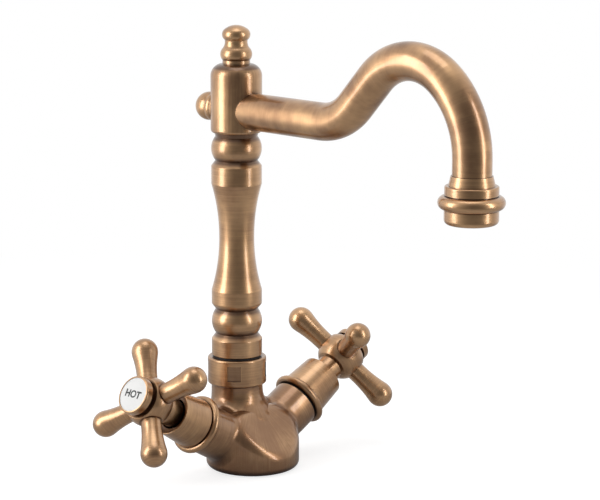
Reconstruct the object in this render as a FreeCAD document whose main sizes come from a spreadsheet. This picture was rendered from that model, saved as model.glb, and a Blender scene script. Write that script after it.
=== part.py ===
import FreeCAD, Part
import math
import os
import re
import Sketcher
from FreeCAD import Placement, Rotation, Vector

# Basin mixer with two cross handles and a high swan-neck spout on a turned column.
# +Z is up, the origin is the centre of the base's underside, the spout reaches towards -Y,
# the hot valve is on the -X side and the cold valve on the +X side.
# All sizes are millimetres or degrees.

SIZES = {
    # base casting
    "base_radius": 24.6,
    "base_foot_round": 3.4,
    "lip_height": 10.0,
    "apron_slope": 48.5,
    "lip_round": 8.0,
    "roof_over_radius": 7.4,
    "roof_round": 15.0,
    "neck_radius": 13.6,
    "neck_top": 42.9,
    "neck_flare": 12.0,
    "flare_lead": 0.6,
    "flare_tuck": 1.5,
    "flare_dip_1": 2.5,
    "flare_dip_2": 5.5,
    "flare_dip_3": 8.5,
    "flare_dip_4": 12.5,
    "flare_dip_5": 20.4,
    "flare_front_4": 7.5,
    "flare_front_5": 6.5,
    "boss_radius": 13.2,
    "boss_root": 10.0,
    "boss_blend": 5.0,
    "column_setback": 11.9,
    "gasket_radius": 20.4,
    "gasket_width": 3.2,
    "gasket_thickness": 2.0,
    "gasket_gap": 0.1,
    "stud_forward": 12.5,
    "stud_bore_radius": 3.4,
    "stud_bore_depth": 9.0,
    "inlet_spacing": 19.0,
    "inlet_bore_radius": 4.5,
    "inlet_thread_length": 9.0,
    "inlet_depth": 13.5,
    "seat_bore_start": 8.5,
    "seat_bore_radius": 3.6,
    "chamber_floor": 24.0,
    "passage_radius": 3.0,
    "passage_station": 28.0,
    "passage_turn": 20.0,
    "passage_lean": 68.0,
    "passage_length": 26.0,
    # valves, measured along each valve's axis from where the two axes cross
    "valve_tilt": 29.2,
    "valve_forward": 3.1,
    "valve_height": 7.65,
    "boss_length": 40.0,
    "cartridge_seat": 20.0,
    "cartridge_radius": 10.4,
    "cartridge_end_gap": 1.5,
    "cartridge_chamber_radius": 8.6,
    "cartridge_chamber_depth": 10.0,
    "port_groove_depth": 0.8,
    "port_groove_width": 5.0,
    "port_radius": 1.8,
    "seal_thickness": 2.0,
    "disc_thickness": 2.5,
    "disc_port_radius": 2.2,
    "disc_port_offset": 4.2,
    "disc_running_gap": 0.05,
    "disc_edge_gap": 1.0,
    "seat_seal_margin": 0.3,
    "flange_gasket_width": 1.9,
    "flange_gasket_thickness": 1.3,
    "bead_collar_length": 4.0,
    "bead_collar_rim": 13.3,
    "bead_collar_rise": 2.2,
    "sleeve_gap": 0.3,
    "sleeve_length": 18.2,
    "sleeve_back_radius": 13.2,
    "sleeve_back_round": 0.5,
    "sleeve_front_radius": 11.8,
    "sleeve_front_round": 0.35,
    "sleeve_rim_wall": 0.8,
    "sleeve_recess": 2.3,
    "sleeve_wall_thickness": 3.0,
    "sleeve_hole_radius": 8.2,
    # spindles and cross handles
    "spindle_radius": 4.0,
    "spindle_foot_radius": 6.5,
    "spindle_foot_thickness": 2.4,
    "spindle_thread_radius": 2.5,
    "spindle_thread_depth": 10.0,
    "spindle_seal_inset": 17.0,
    "spindle_seal_section": 0.8,
    "circlip_thickness": 1.0,
    "circlip_width": 2.0,
    "circlip_groove_depth": 0.7,
    "hub_skirt_cover": 4.2,
    "hub_skirt_length": 11.6,
    "hub_skirt_radius": 7.4,
    "hub_skirt_bore": 6.0,
    "hub_skirt_bore_depth": 4.4,
    "hub_socket_depth": 12.0,
    "hub_back_radius": 9.0,
    "hub_back_chamfer": 0.8,
    "hub_length": 15.2,
    "hub_front_radius": 11.0,
    "hub_rise": 2.8,
    "hub_neck_radius": 8.6,
    "hub_neck_length": 2.3,
    "hub_flat": 11.3,
    "hub_screw_web": 2.8,
    "arm_setback": 8.75,
    "arm_stub_radius": 3.0,
    "arm_stub_length": 3.0,
    "arm_root_radius": 5.25,
    "arm_root_length": 2.7,
    "arm_waist_rise": 0.35,
    "arm_shoulder_radius": 6.62,
    "arm_shoulder": 27.5,
    "arm_shoulder_rise": 0.06,
    "arm_ball_radius": 6.85,
    "arm_ball_centre": 29.75,
    "hot_rest_turn": 34.3,
    "cold_rest_turn": 41.5,
    "screw_head_radius": 4.5,
    "screw_head_height": 3.5,
    "screw_engagement": 8.0,
    "screw_socket_width": 4.0,
    "screw_socket_depth": 2.2,
    "bezel_radius": 10.0,
    "bezel_length": 3.9,
    "bezel_round": 0.9,
    "bezel_spigot_radius": 7.1,
    "bezel_spigot_length": 3.6,
    "index_radius": 8.9,
    "index_thickness": 1.0,
    "index_dome": 0.3,
    # union nut and swivel joint, heights above the deck
    "nut_radius": 15.5,
    "nut_bottom": 43.5,
    "nut_height": 14.3,
    "nut_edge_round": 0.9,
    "nut_lip": 3.4,
    "nut_notch_width": 7.1,
    "nut_notch_length": 8.1,
    "nut_notch_rise": 3.4,
    "nut_notch_depth": 0.9,
    "nut_notch_count": 4,
    "nut_notch_turn": 220.7,
    "thread_radius": 13.1,
    "thread_top": 52.7,
    "washer_thickness": 0.75,
    "washer_radius": 12.5,
    "shank_radius": 9.5,
    "shank_bottom": 36.0,
    "shank_bore_radius": 6.0,
    "shank_step": 50.0,
    "shank_end_round": 0.6,
    "ring_groove_depth": 1.0,
    "ring_thickness": 1.5,
    "ring_width": 2.1,
    "ring_drop": 0.1,
    "shank_seal_section": 0.85,
    "lower_seal_height": 39.0,
    "upper_seal_height": 45.5,
    # column, each piece stacked on the one below
    "pipe_radius": 7.5,
    "collar_radius": 13.3,
    "collar_height": 11.9,
    "collar_cove": 3.0,
    "collar_foot_round": 0.6,
    "collar_top_round": 0.7,
    "groove_radius": 11.05,
    "bead_rise": 2.2,
    "lower_bead_height": 13.0,
    "baluster_height": 79.1,
    "vase_radius": 13.25,
    "vase_foot_height": 2.9,
    "vase_foot_round": 1.5,
    "vase_band_height": 7.4,
    "waist_radius": 9.22,
    "waist_height": 38.9,
    "waist_lower_rise": 1.1,
    "waist_upper_rise": 1.0,
    "vase_top_band": 9.4,
    "vase_top_round": 0.7,
    "upper_bead_height": 12.6,
    "block_radius": 13.43,
    "block_height": 38.0,
    "block_foot_height": 1.9,
    "block_foot_flare": 0.4,
    "block_foot_round": 1.8,
    "block_top_round": 6.5,
    "pipe_socket": 3.0,
    "finial_stem_radius": 7.2,
    "finial_stem_height": 1.8,
    "finial_bead_height": 6.2,
    "finial_bead_rise": 1.2,
    "finial_bead_taper": 0.2,
    "finial_cove_height": 4.2,
    "finial_cove_rise": 0.5,
    "finial_neck_radius": 6.0,
    "finial_ball_height": 5.6,
    "finial_ball_rise": 1.36,
    "finial_cap_height": 2.1,
    "finial_stud_radius": 3.0,
    "finial_stud_length": 5.0,
    "knob_seat": 10.8,
    "knob_collar_radius": 7.35,
    "knob_collar_length": 6.7,
    "knob_collar_rise": 0.65,
    "knob_crease_radius": 6.95,
    "knob_end": 27.8,
    "knob_stud_radius": 2.5,
    "knob_stud_length": 3.4,
    # spout tube, measured out from the column's axis
    "tube_radius": 9.63,
    "tube_bore_radius": 8.1,
    "tube_level": 189.1,
    "tube_start": 5.0,
    "tube_rise_bend": 32.15,
    "tube_rise_angle": 47.2,
    "tube_rise_run": 19.5,
    "tube_crown_bend": 33.6,
    "tube_fall_bend": 46.3,
    "tube_fall_angle": 53.3,
    "tube_drop_run": 15.3,
    "spout_reach": 162.1,
    # spout end
    "shell_radius": 13.2,
    "shell_height": 7.2,
    "shell_round": 2.4,
    "shell_top_round": 0.4,
    "shell_lip": 0.6,
    "shell_neck_radius": 10.2,
    "shell_neck_height": 4.6,
    "shell_bore_radius": 9.0,
    "outlet_bead_height": 6.6,
    "outlet_bead_rise": 2.9,
    "outlet_bead_rim": 13.4,
    "outlet_groove_width": 0.5,
    "outlet_groove_depth": 1.2,
    "ferrule_band_radius": 13.1,
    "ferrule_band_height": 4.3,
    "ferrule_band_round": 0.8,
    "ferrule_foot_radius": 11.3,
    "ferrule_top_radius": 10.2,
    "ferrule_cone_height": 4.7,
    "ferrule_shoulder": 8.2,
    "aerator_washer_thickness": 1.4,
    "aerator_washer_hole": 6.4,
    "aerator_recess": 0.9,
    "aerator_height": 8.0,
    "aerator_hole_radius": 0.8,
    "aerator_hole_ring": 5.2,
    "aerator_hole_count": 12,
    # clearances
    "thread_gap": 0.05,
    "seat_gap": 0.05,
    "running_gap": 0.05,
}

# Heights and stations that follow from the sizes above.
ROOF_HEIGHT = "(base_radius + roof_over_radius)"
NUT_TOP = "(nut_bottom + nut_height)"
COLLAR_BOTTOM = "(nut_bottom + nut_height + washer_thickness + running_gap)"
BEAD_BOTTOM = f"({COLLAR_BOTTOM} + collar_height)"
BALUSTER_BOTTOM = f"({BEAD_BOTTOM} + lower_bead_height)"
UPPER_BEAD_BOTTOM = f"({BALUSTER_BOTTOM} + baluster_height)"
BLOCK_BOTTOM = f"({UPPER_BEAD_BOTTOM} + upper_bead_height)"
BLOCK_TOP = f"({BLOCK_BOTTOM} + block_height)"
PIPE_BORE = "(pipe_radius + seat_gap)"
COLLAR_STATION = "(boss_length + flange_gasket_thickness)"
SLEEVE_BACK = f"({COLLAR_STATION} + bead_collar_length + sleeve_gap)"
SLEEVE_FRONT = f"({SLEEVE_BACK} + sleeve_length)"
SLEEVE_FACE = f"({SLEEVE_FRONT} - sleeve_recess)"
CARTRIDGE_END = f"({SLEEVE_FACE} - sleeve_wall_thickness - cartridge_end_gap)"
DISC_STATION = "(cartridge_seat + seal_thickness)"
MOVING_DISC_STATION = f"({DISC_STATION} + disc_thickness + disc_running_gap)"
FOOT_STATION = f"({MOVING_DISC_STATION} + disc_thickness)"
SPINDLE_SEAL_STATION = f"({CARTRIDGE_END} - spindle_seal_inset)"
HUB_START = f"({SLEEVE_FRONT} - hub_skirt_cover)"
HUB_SOCKET = f"({HUB_START} + hub_skirt_bore_depth)"
SPINDLE_END = f"({HUB_SOCKET} + hub_socket_depth)"
HUB_BACK = f"({HUB_START} + hub_skirt_length)"
HUB_FRONT = f"({HUB_BACK} + hub_length)"
ARM_STATION = f"({HUB_BACK} + arm_setback)"
SCREW_SEAT = f"({SPINDLE_END} + seat_gap + hub_screw_web)"
BEZEL_BACK = f"({HUB_FRONT} + hub_neck_length)"
BEZEL_FRONT = f"({BEZEL_BACK} + bezel_length)"
TUBE_LEVEL_RUN = (
    "(spout_reach - (tube_rise_bend + tube_crown_bend) * sin(tube_rise_angle)"
    " - tube_rise_run * cos(tube_rise_angle)"
    " + (tube_fall_bend - tube_crown_bend) * cos(tube_fall_angle) - tube_fall_bend)"
)
TUBE_END = (
    "(tube_level + tube_rise_bend - (tube_rise_bend + tube_crown_bend) * cos(tube_rise_angle)"
    " + tube_rise_run * sin(tube_rise_angle)"
    " - (tube_fall_bend - tube_crown_bend) * sin(tube_fall_angle) - tube_drop_run)"
)
SHELL_TOP = f"({TUBE_END} - ferrule_shoulder)"
OUTLET_BOTTOM = f"({SHELL_TOP} - shell_height)"
NECK_TOP = f"({SHELL_TOP} + shell_neck_height)"
FERRULE_TOP = (
    f"({SHELL_TOP} + outlet_bead_height + outlet_groove_width"
    " + ferrule_band_height + ferrule_cone_height)"
)

doc = FreeCAD.newDocument("CrossHandleMixer")
sheet = doc.addObject("Spreadsheet::Sheet", "sheet")
for row, (size_name, size) in enumerate(SIZES.items(), start=1):
    sheet.set(f"A{row}", size_name)
    sheet.set(f"B{row}", str(size))
    sheet.setAlias(f"B{row}", size_name)
doc.recompute()

nodes = []


def bound(text):
    """The expression with each size name pointing at the sheet."""
    return re.sub(r"[a-z][a-z_0-9]*", lambda m: "sheet." + m[0] if m[0] in SIZES else m[0], text)


def value(text):
    """The number that an expression in size names comes to."""
    return float(doc.getObject("sheet").evalExpression(bound(text)))


def origin_part(body, role):
    return next(part for part in body.Origin.OriginFeatures if part.Role == role)


def new_body(label, at):
    """An empty body that carries a sub-part's name and stands at the given placement."""
    body = doc.addObject("PartDesign::Body", label)
    body.Label = label
    body.setExpression("Placement", bound(at))
    nodes.append(body)
    return body


def new_sketch(body, role):
    sketch = body.newObject("Sketcher::SketchObject", "Sketch")
    sketch.AttachmentSupport = [(origin_part(body, role), "")]
    sketch.MapMode = "FlatFace"
    return sketch


def constrain(sketch, name, text, *where):
    """Add one dimension and bind it to the sheet."""
    index = sketch.addConstraint(Sketcher.Constraint(*where, value(text)))
    sketch.renameConstraint(index, name)
    sketch.setExpression(f"Constraints.{name}", bound(text))


def place_point(sketch, name, geometry, end, across, up):
    """Hold one end of a sketch curve at a point given by two expressions."""
    if across == "0":
        sketch.addConstraint(Sketcher.Constraint("PointOnObject", geometry, end, -2))
    else:
        constrain(sketch, name + "_across", across, "DistanceX", -1, 1, geometry, end)
    if up == "0":
        sketch.addConstraint(Sketcher.Constraint("PointOnObject", geometry, end, -1))
    else:
        constrain(sketch, name + "_up", up, "DistanceY", -1, 1, geometry, end)


def arc_between(start, end, rise):
    """An arc that stands out by rise to the right of the way from start to end."""
    chord = end - start
    radius = chord.Length ** 2 / (8 * abs(rise)) + abs(rise) / 2
    right = Vector(chord.y, -chord.x, 0).normalize()
    centre = (start + end) / 2 + right * (rise - math.copysign(radius, rise))
    first, last = (start, end) if rise > 0 else (end, start)
    from_angle = math.atan2(first.y - centre.y, first.x - centre.x)
    to_angle = math.atan2(last.y - centre.y, last.x - centre.x)
    if to_angle <= from_angle:
        to_angle += 2 * math.pi
    circle = Part.Circle(centre, Vector(0, 0, 1), radius)
    return Part.ArcOfCircle(circle, from_angle, to_angle)


def draw_outline(sketch, corners):
    """Draw a closed outline, counter-clockwise, through corners (across, up, kind, size).

    A corner of kind "round" is rounded by that radius. A corner of kind "rise" is reached by
    an arc that stands out by that much, minus for inwards. A corner of kind "cap" lies on the
    axis and is reached by an arc centred on the axis.
    """
    count = len(corners)
    places = [Vector(value(c[0]), value(c[1]), 0) for c in corners]
    entry = list(places)
    leave = list(places)
    kinds = [c[2] if len(c) > 2 else "" for c in corners]
    for i in range(count):
        if kinds[i] != "round":
            continue
        back = (places[i - 1] - places[i]).normalize()
        ahead = (places[(i + 1) % count] - places[i]).normalize()
        reach = value(corners[i][3]) / math.tan(back.getAngle(ahead) / 2)
        entry[i] = places[i] + back * reach
        leave[i] = places[i] + ahead * reach

    sides = []
    for i in range(count):
        j = (i + 1) % count
        if kinds[j] == "rise":
            rise = corners[j][3]
            chord = (
                f"((({corners[j][0]}) - ({corners[i][0]}))^2"
                f" + (({corners[j][1]}) - ({corners[i][1]}))^2)"
            )
            radius = f"{chord} / (8 * abs({rise})) + abs({rise}) / 2"
            g = sketch.addGeometry(arc_between(places[i], places[j], value(rise)), False)
            constrain(sketch, f"arc_{j}", radius, "Radius", g)
            sides.append((g, 1, 2) if value(rise) > 0 else (g, 2, 1))
        elif kinds[j] == "cap":
            height = places[j].y - places[i].y
            radius = (places[i].x ** 2 + height ** 2) / (2 * height)
            circle = Part.Circle(Vector(0, places[j].y - radius, 0), Vector(0, 0, 1), radius)
            from_angle = math.atan2(radius - height, places[i].x)
            g = sketch.addGeometry(Part.ArcOfCircle(circle, from_angle, math.pi / 2), False)
            sketch.addConstraint(Sketcher.Constraint("PointOnObject", g, 3, -2))
            sides.append((g, 1, 2))
        else:
            g = sketch.addGeometry(Part.LineSegment(leave[i], entry[j]), False)
            sides.append((g, 1, 2))

    for j in range(count):
        before = sides[j - 1]
        after = sides[j]
        if kinds[j] == "round":
            turn = (places[j] - places[j - 1]).cross(places[(j + 1) % count] - places[j]).z
            radius = value(corners[j][3])
            bulge = (entry[j] - leave[j]).Length
            rise = radius - math.sqrt(radius * radius - bulge * bulge / 4)
            g = sketch.addGeometry(
                arc_between(entry[j], leave[j], math.copysign(rise, turn)), False
            )
            arc_start, arc_end = (1, 2) if turn > 0 else (2, 1)
            sketch.addConstraint(Sketcher.Constraint("Tangent", before[0], before[2], g, arc_start))
            sketch.addConstraint(Sketcher.Constraint("Tangent", g, arc_end, after[0], after[1]))
            constrain(sketch, f"round_{j}", corners[j][3], "Radius", g)
            p = sketch.addGeometry(Part.Point(places[j]), True)
            sketch.addConstraint(Sketcher.Constraint("PointOnObject", p, 1, before[0]))
            sketch.addConstraint(Sketcher.Constraint("PointOnObject", p, 1, after[0]))
            place_point(sketch, f"corner_{j}", p, 1, corners[j][0], corners[j][1])
        else:
            sketch.addConstraint(
                Sketcher.Constraint("Coincident", before[0], before[2], after[0], after[1])
            )
            place_point(sketch, f"corner_{j}", after[0], after[1], corners[j][0], corners[j][1])


def turn_outline(body, corners, sweep=360, plane="XZ_Plane"):
    """Turn an outline of (radius, height) corners about the body's own Z axis."""
    sketch = new_sketch(body, plane)
    draw_outline(sketch, corners)
    turned = body.newObject("PartDesign::Revolution", "Turned")
    turned.Profile = sketch
    turned.ReferenceAxis = (sketch, ["V_Axis"])
    turned.Angle = sweep
    sketch.Visibility = False
    return turned


def turned_part(label, at, corners, sweep=360):
    body = new_body(label, at)
    turn_outline(body, corners, sweep)
    return body


def ring_part(label, at, radius, height, section):
    """A ring of round section."""
    body = new_body(label, at)
    sketch = new_sketch(body, "XZ_Plane")
    centre = Vector(value(radius), value(height), 0)
    circle = sketch.addGeometry(Part.Circle(centre, Vector(0, 0, 1), value(section)), False)
    place_point(sketch, "centre", circle, 3, radius, height)
    constrain(sketch, "section", section, "Radius", circle)
    turned = body.newObject("PartDesign::Revolution", "Turned")
    turned.Profile = sketch
    turned.ReferenceAxis = (sketch, ["V_Axis"])
    return body


def primitive(body, kind, sizes, at):
    """A PartDesign primitive with its sizes and place bound to the sheet."""
    feature = body.newObject("PartDesign::" + kind, kind)
    for key, text in sizes.items():
        feature.setExpression(key, bound(text))
    feature.setExpression("Placement", bound(at))
    return feature


def drill(body, radius, depth, at):
    """Bore a round hole from the given place along its Z direction."""
    return primitive(body, "SubtractiveCylinder", {"Radius": radius, "Height": depth}, at)


def pattern_about_axis(body, features, count):
    pattern = body.newObject("PartDesign::PolarPattern", "Pattern")
    pattern.Originals = features
    pattern.Axis = (origin_part(body, "Z_Axis"), [""])
    pattern.Angle = 360
    if isinstance(count, str):
        pattern.setExpression("Occurrences", bound(count))
    else:
        pattern.Occurrences = count
    body.Tip = pattern
    return pattern


def place(x, y, z, turn=""):
    turn = turn or "rotationz(0)"
    return f"placement(vector({x}; {y}; {z}); {turn})"


ON_DECK = place("0", "0", "0")
ON_COLUMN = place("0", "column_setback", "0")
ON_OUTLET = place("0", "column_setback - spout_reach", "0")


def valve_turn(side):
    """The rotation from +Z to a valve's axis, side -1 for hot and 1 for cold."""
    return f"rotationy({side} * (90 - valve_tilt))"


def on_valve(side, turn=""):
    spin = f" * rotationz({turn})" if turn else ""
    return place("0", "valve_forward", "valve_height", valve_turn(side) + spin)


# ---------------------------------------------------------------------------------------
# Base casting: a round foot with a sloping front apron, a neck and two valve bosses.
# ---------------------------------------------------------------------------------------
def round_edges(body, radius, wanted):
    """Round the edges of the body's last feature that the test picks."""
    doc.recompute()
    base = body.Tip
    names = [f"Edge{i}" for i, e in enumerate(base.Shape.Edges, start=1) if wanted(e)]
    rounded = body.newObject("PartDesign::Fillet", "Rounded")
    rounded.Base = (base, names)
    rounded.setExpression("Radius", bound(radius))
    body.Tip = rounded
    return rounded


def along(edge):
    """Three points inside an edge."""
    span = edge.LastParameter - edge.FirstParameter
    return [edge.valueAt(edge.FirstParameter + span * part) for part in (0.1, 0.5, 0.9)]


def is_straight(edge):
    return edge.Curve.TypeId == "Part::GeomLine"


def valve_axis(side):
    tilt = math.radians(value("valve_tilt"))
    return Vector(side * math.cos(tilt), 0, math.sin(tilt))


def meets_boss(edge):
    """An edge where a boss runs into the casting, not its own end."""
    start = Vector(0, value("valve_forward"), value("valve_height"))
    for side in (-1, 1):
        axis = valve_axis(side)
        offsets = [point - start for point in along(edge)]
        on_wall = all(abs(o.cross(axis).Length - value("boss_radius")) < 0.02 for o in offsets)
        below_end = all(o.dot(axis) < value("boss_length") - 0.5 for o in offsets)
        if on_wall and below_end and not is_straight(edge):
            return True
    return False


def borders_apron(edge):
    """An edge of the sloping apron."""
    slope = math.radians(value("apron_slope"))
    facing = Vector(0, -math.sin(slope), math.cos(slope))
    lip = Vector(0, -value("base_radius"), value("lip_height"))
    return all(abs((point - lip).dot(facing)) < 0.001 for point in along(edge))


def apron_at(height):
    """How far forward the apron's surface lies at a height."""
    return f"(-base_radius + (({height}) - lip_height) / tan(apron_slope))"


def flare_at(height):
    """How far forward the neck's flare lies at a height."""
    return (
        "(column_setback - neck_radius - neck_flare"
        f" + sqrt(neck_flare^2 - ({FLARE_TOP} - ({height}))^2))"
    )


def neck_section(height, front):
    """A round section of the neck, from a front edge to the back of the column."""
    section = new_sketch(mixer, "XY_Plane")
    section.AttachmentOffset = Placement(Vector(), Rotation(Vector(0, 0, 1), 90))
    section.setExpression("AttachmentOffset.Base.z", bound(height))
    back = "(column_setback + neck_radius)"
    middle = f"(({back} + {front}) / 2)"
    radius = f"(({back} - {front}) / 2)"
    circle = section.addGeometry(
        Part.Circle(Vector(value(middle), 0, 0), Vector(0, 0, 1), value(radius)), False
    )
    place_point(section, "middle", circle, 3, middle, "0")
    constrain(section, "radius", radius, "Radius", circle)
    section.Visibility = False
    return section


mixer = new_body("mixer_body", ON_DECK)
turn_outline(mixer, [
    ("0", "0"),
    ("base_radius", "0", "round", "base_foot_round"),
    ("base_radius", ROOF_HEIGHT, "round", "roof_round"),
    ("0", ROOF_HEIGHT),
], plane="YZ_Plane")
primitive(
    mixer,
    "SubtractiveBox",
    {"Length": "4 * base_radius", "Width": "4 * base_radius", "Height": "4 * base_radius"},
    place(
        "-2 * base_radius",
        "-base_radius - base_radius * cos(apron_slope)",
        "lip_height - base_radius * sin(apron_slope)",
        "rotationx(apron_slope)",
    ),
)
round_edges(mixer, "lip_round", borders_apron)

# The neck flares forward into the apron, so its round sections grow towards the front.
NECK_CORNER = "(lip_height + (base_radius + column_setback - neck_radius) * tan(apron_slope))"
FLARE_TANGENT = "(neck_flare * tan(45 - apron_slope / 2))"
FLARE_TOP = f"({NECK_CORNER} + {FLARE_TANGENT})"
FLARE_FOOT = f"({NECK_CORNER} - {FLARE_TANGENT} * sin(apron_slope))"
FLARE_RISE = f"({FLARE_TOP} - {FLARE_FOOT})"
# Below its foot the flare's sections dip under the apron, from the deepest to the foot: how
# far below the foot each lies, where on the apron its front is taken, and what is added.
sections = []
for dip, front_dip, offset in (
    ("flare_dip_5", "flare_front_5", "+ flare_tuck"),
    ("flare_dip_4", "flare_front_4", "+ flare_tuck"),
    ("flare_dip_3", "flare_dip_3", "+ 0.6 * flare_tuck"),
    ("flare_dip_2", "flare_dip_2", "- 0.5 * flare_lead"),
    ("flare_dip_1", "flare_dip_1", "- flare_lead"),
    ("0", "0", "- 0.6 * flare_lead"),
):
    front = apron_at(f"{FLARE_FOOT} - {front_dip}")
    sections.append(neck_section(f"{FLARE_FOOT} - {dip}", f"({front} {offset})"))
for share in (0.38, 0.7, 1):
    height = f"({FLARE_FOOT} + {share} * {FLARE_RISE})"
    sections.append(neck_section(height, flare_at(height)))
sections.append(neck_section("neck_top", "(column_setback - neck_radius)"))
doc.recompute()
neck = mixer.newObject("PartDesign::AdditiveLoft", "Neck")
neck.Profile = sections[0]
neck.Sections = sections[1:]

for side in (-1, 1):
    # The seam of each boss is turned to its upper side, away from the casting's blends.
    primitive(
        mixer,
        "AdditiveCylinder",
        {"Radius": "boss_radius", "Height": "boss_length - boss_root"},
        on_valve(side) + " * " + place("0", "0", "boss_root", f"rotationz({90 + 90 * side})"),
    )
round_edges(mixer, "boss_blend", meets_boss)
primitive(
    mixer,
    "AdditiveCylinder",
    {"Radius": "thread_radius", "Height": "thread_top - neck_top"},
    place("0", "column_setback", "neck_top"),
)
drill(mixer, "shank_radius + running_gap", "thread_top - chamber_floor + 1",
      place("0", "column_setback", "chamber_floor"))
for side in (-1, 1):
    valve = on_valve(side)
    drill(mixer, "cartridge_radius + thread_gap", "boss_length - cartridge_seat + 1",
          valve + " * " + place("0", "0", "cartridge_seat"))
    drill(mixer, "seat_bore_radius", "cartridge_seat - seat_bore_start + 1",
          valve + " * " + place("0", "0", "seat_bore_start"))
    inlet = place(f"{side} * inlet_spacing / 2", "valve_forward", "0")
    drill(mixer, "inlet_bore_radius", "inlet_thread_length", inlet)
    drill(mixer, "seat_bore_radius", "inlet_depth", inlet)
    drill(
        mixer,
        "passage_radius",
        "passage_length",
        place(
            f"{side} * passage_station * cos(valve_tilt)",
            "valve_forward",
            "valve_height + passage_station * sin(valve_tilt)",
            f"rotationz({-side} * passage_turn) * rotationy({-side} * passage_lean)",
        ),
    )
drill(mixer, "stud_bore_radius", "stud_bore_depth", place("0", "-stud_forward", "0"))
groove = new_sketch(mixer, "XY_Plane")
for ring_name, ring_radius in (
    ("outer", "gasket_radius + gasket_gap"),
    ("inner", "gasket_radius - gasket_width - gasket_gap"),
):
    circle = groove.addGeometry(Part.Circle(Vector(), Vector(0, 0, 1), value(ring_radius)), False)
    groove.addConstraint(Sketcher.Constraint("Coincident", circle, 3, -1, 1))
    constrain(groove, ring_name, ring_radius, "Radius", circle)
gasket_groove = mixer.newObject("PartDesign::Pocket", "GasketGroove")
gasket_groove.Profile = groove
gasket_groove.Reversed = True
gasket_groove.setExpression("Length", bound("gasket_thickness"))

turned_part("base_gasket", ON_DECK, [
    ("gasket_radius - gasket_width", "0"),
    ("gasket_radius", "0"),
    ("gasket_radius", "gasket_thickness"),
    ("gasket_radius - gasket_width", "gasket_thickness"),
])

# ---------------------------------------------------------------------------------------
# Union nut and the parts that stay with the base.
# ---------------------------------------------------------------------------------------
nut = turned_part("union_nut", ON_COLUMN, [
    ("thread_radius + thread_gap", "nut_bottom"),
    ("nut_radius", "nut_bottom", "round", "nut_edge_round"),
    ("nut_radius", NUT_TOP, "round", "nut_edge_round"),
    ("shank_radius + 4 * running_gap", NUT_TOP),
    ("shank_radius + 4 * running_gap", f"{NUT_TOP} - nut_lip"),
    ("thread_radius + thread_gap", f"{NUT_TOP} - nut_lip"),
])
notch = primitive(
    nut,
    "SubtractiveBox",
    {"Length": "nut_radius", "Width": "nut_notch_width", "Height": "nut_notch_length"},
    place("0", "0", "0", "rotationz(nut_notch_turn)") + " * "
    + place("nut_radius - nut_notch_depth", "-nut_notch_width / 2", "nut_bottom + nut_notch_rise"),
)
pattern_about_axis(nut, [notch], "nut_notch_count")

turned_part("swivel_washer", ON_COLUMN, [
    ("shank_radius + 4 * running_gap", NUT_TOP),
    ("washer_radius", NUT_TOP),
    ("washer_radius", f"{NUT_TOP} + washer_thickness"),
    ("shank_radius + 4 * running_gap", f"{NUT_TOP} + washer_thickness"),
])

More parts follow.
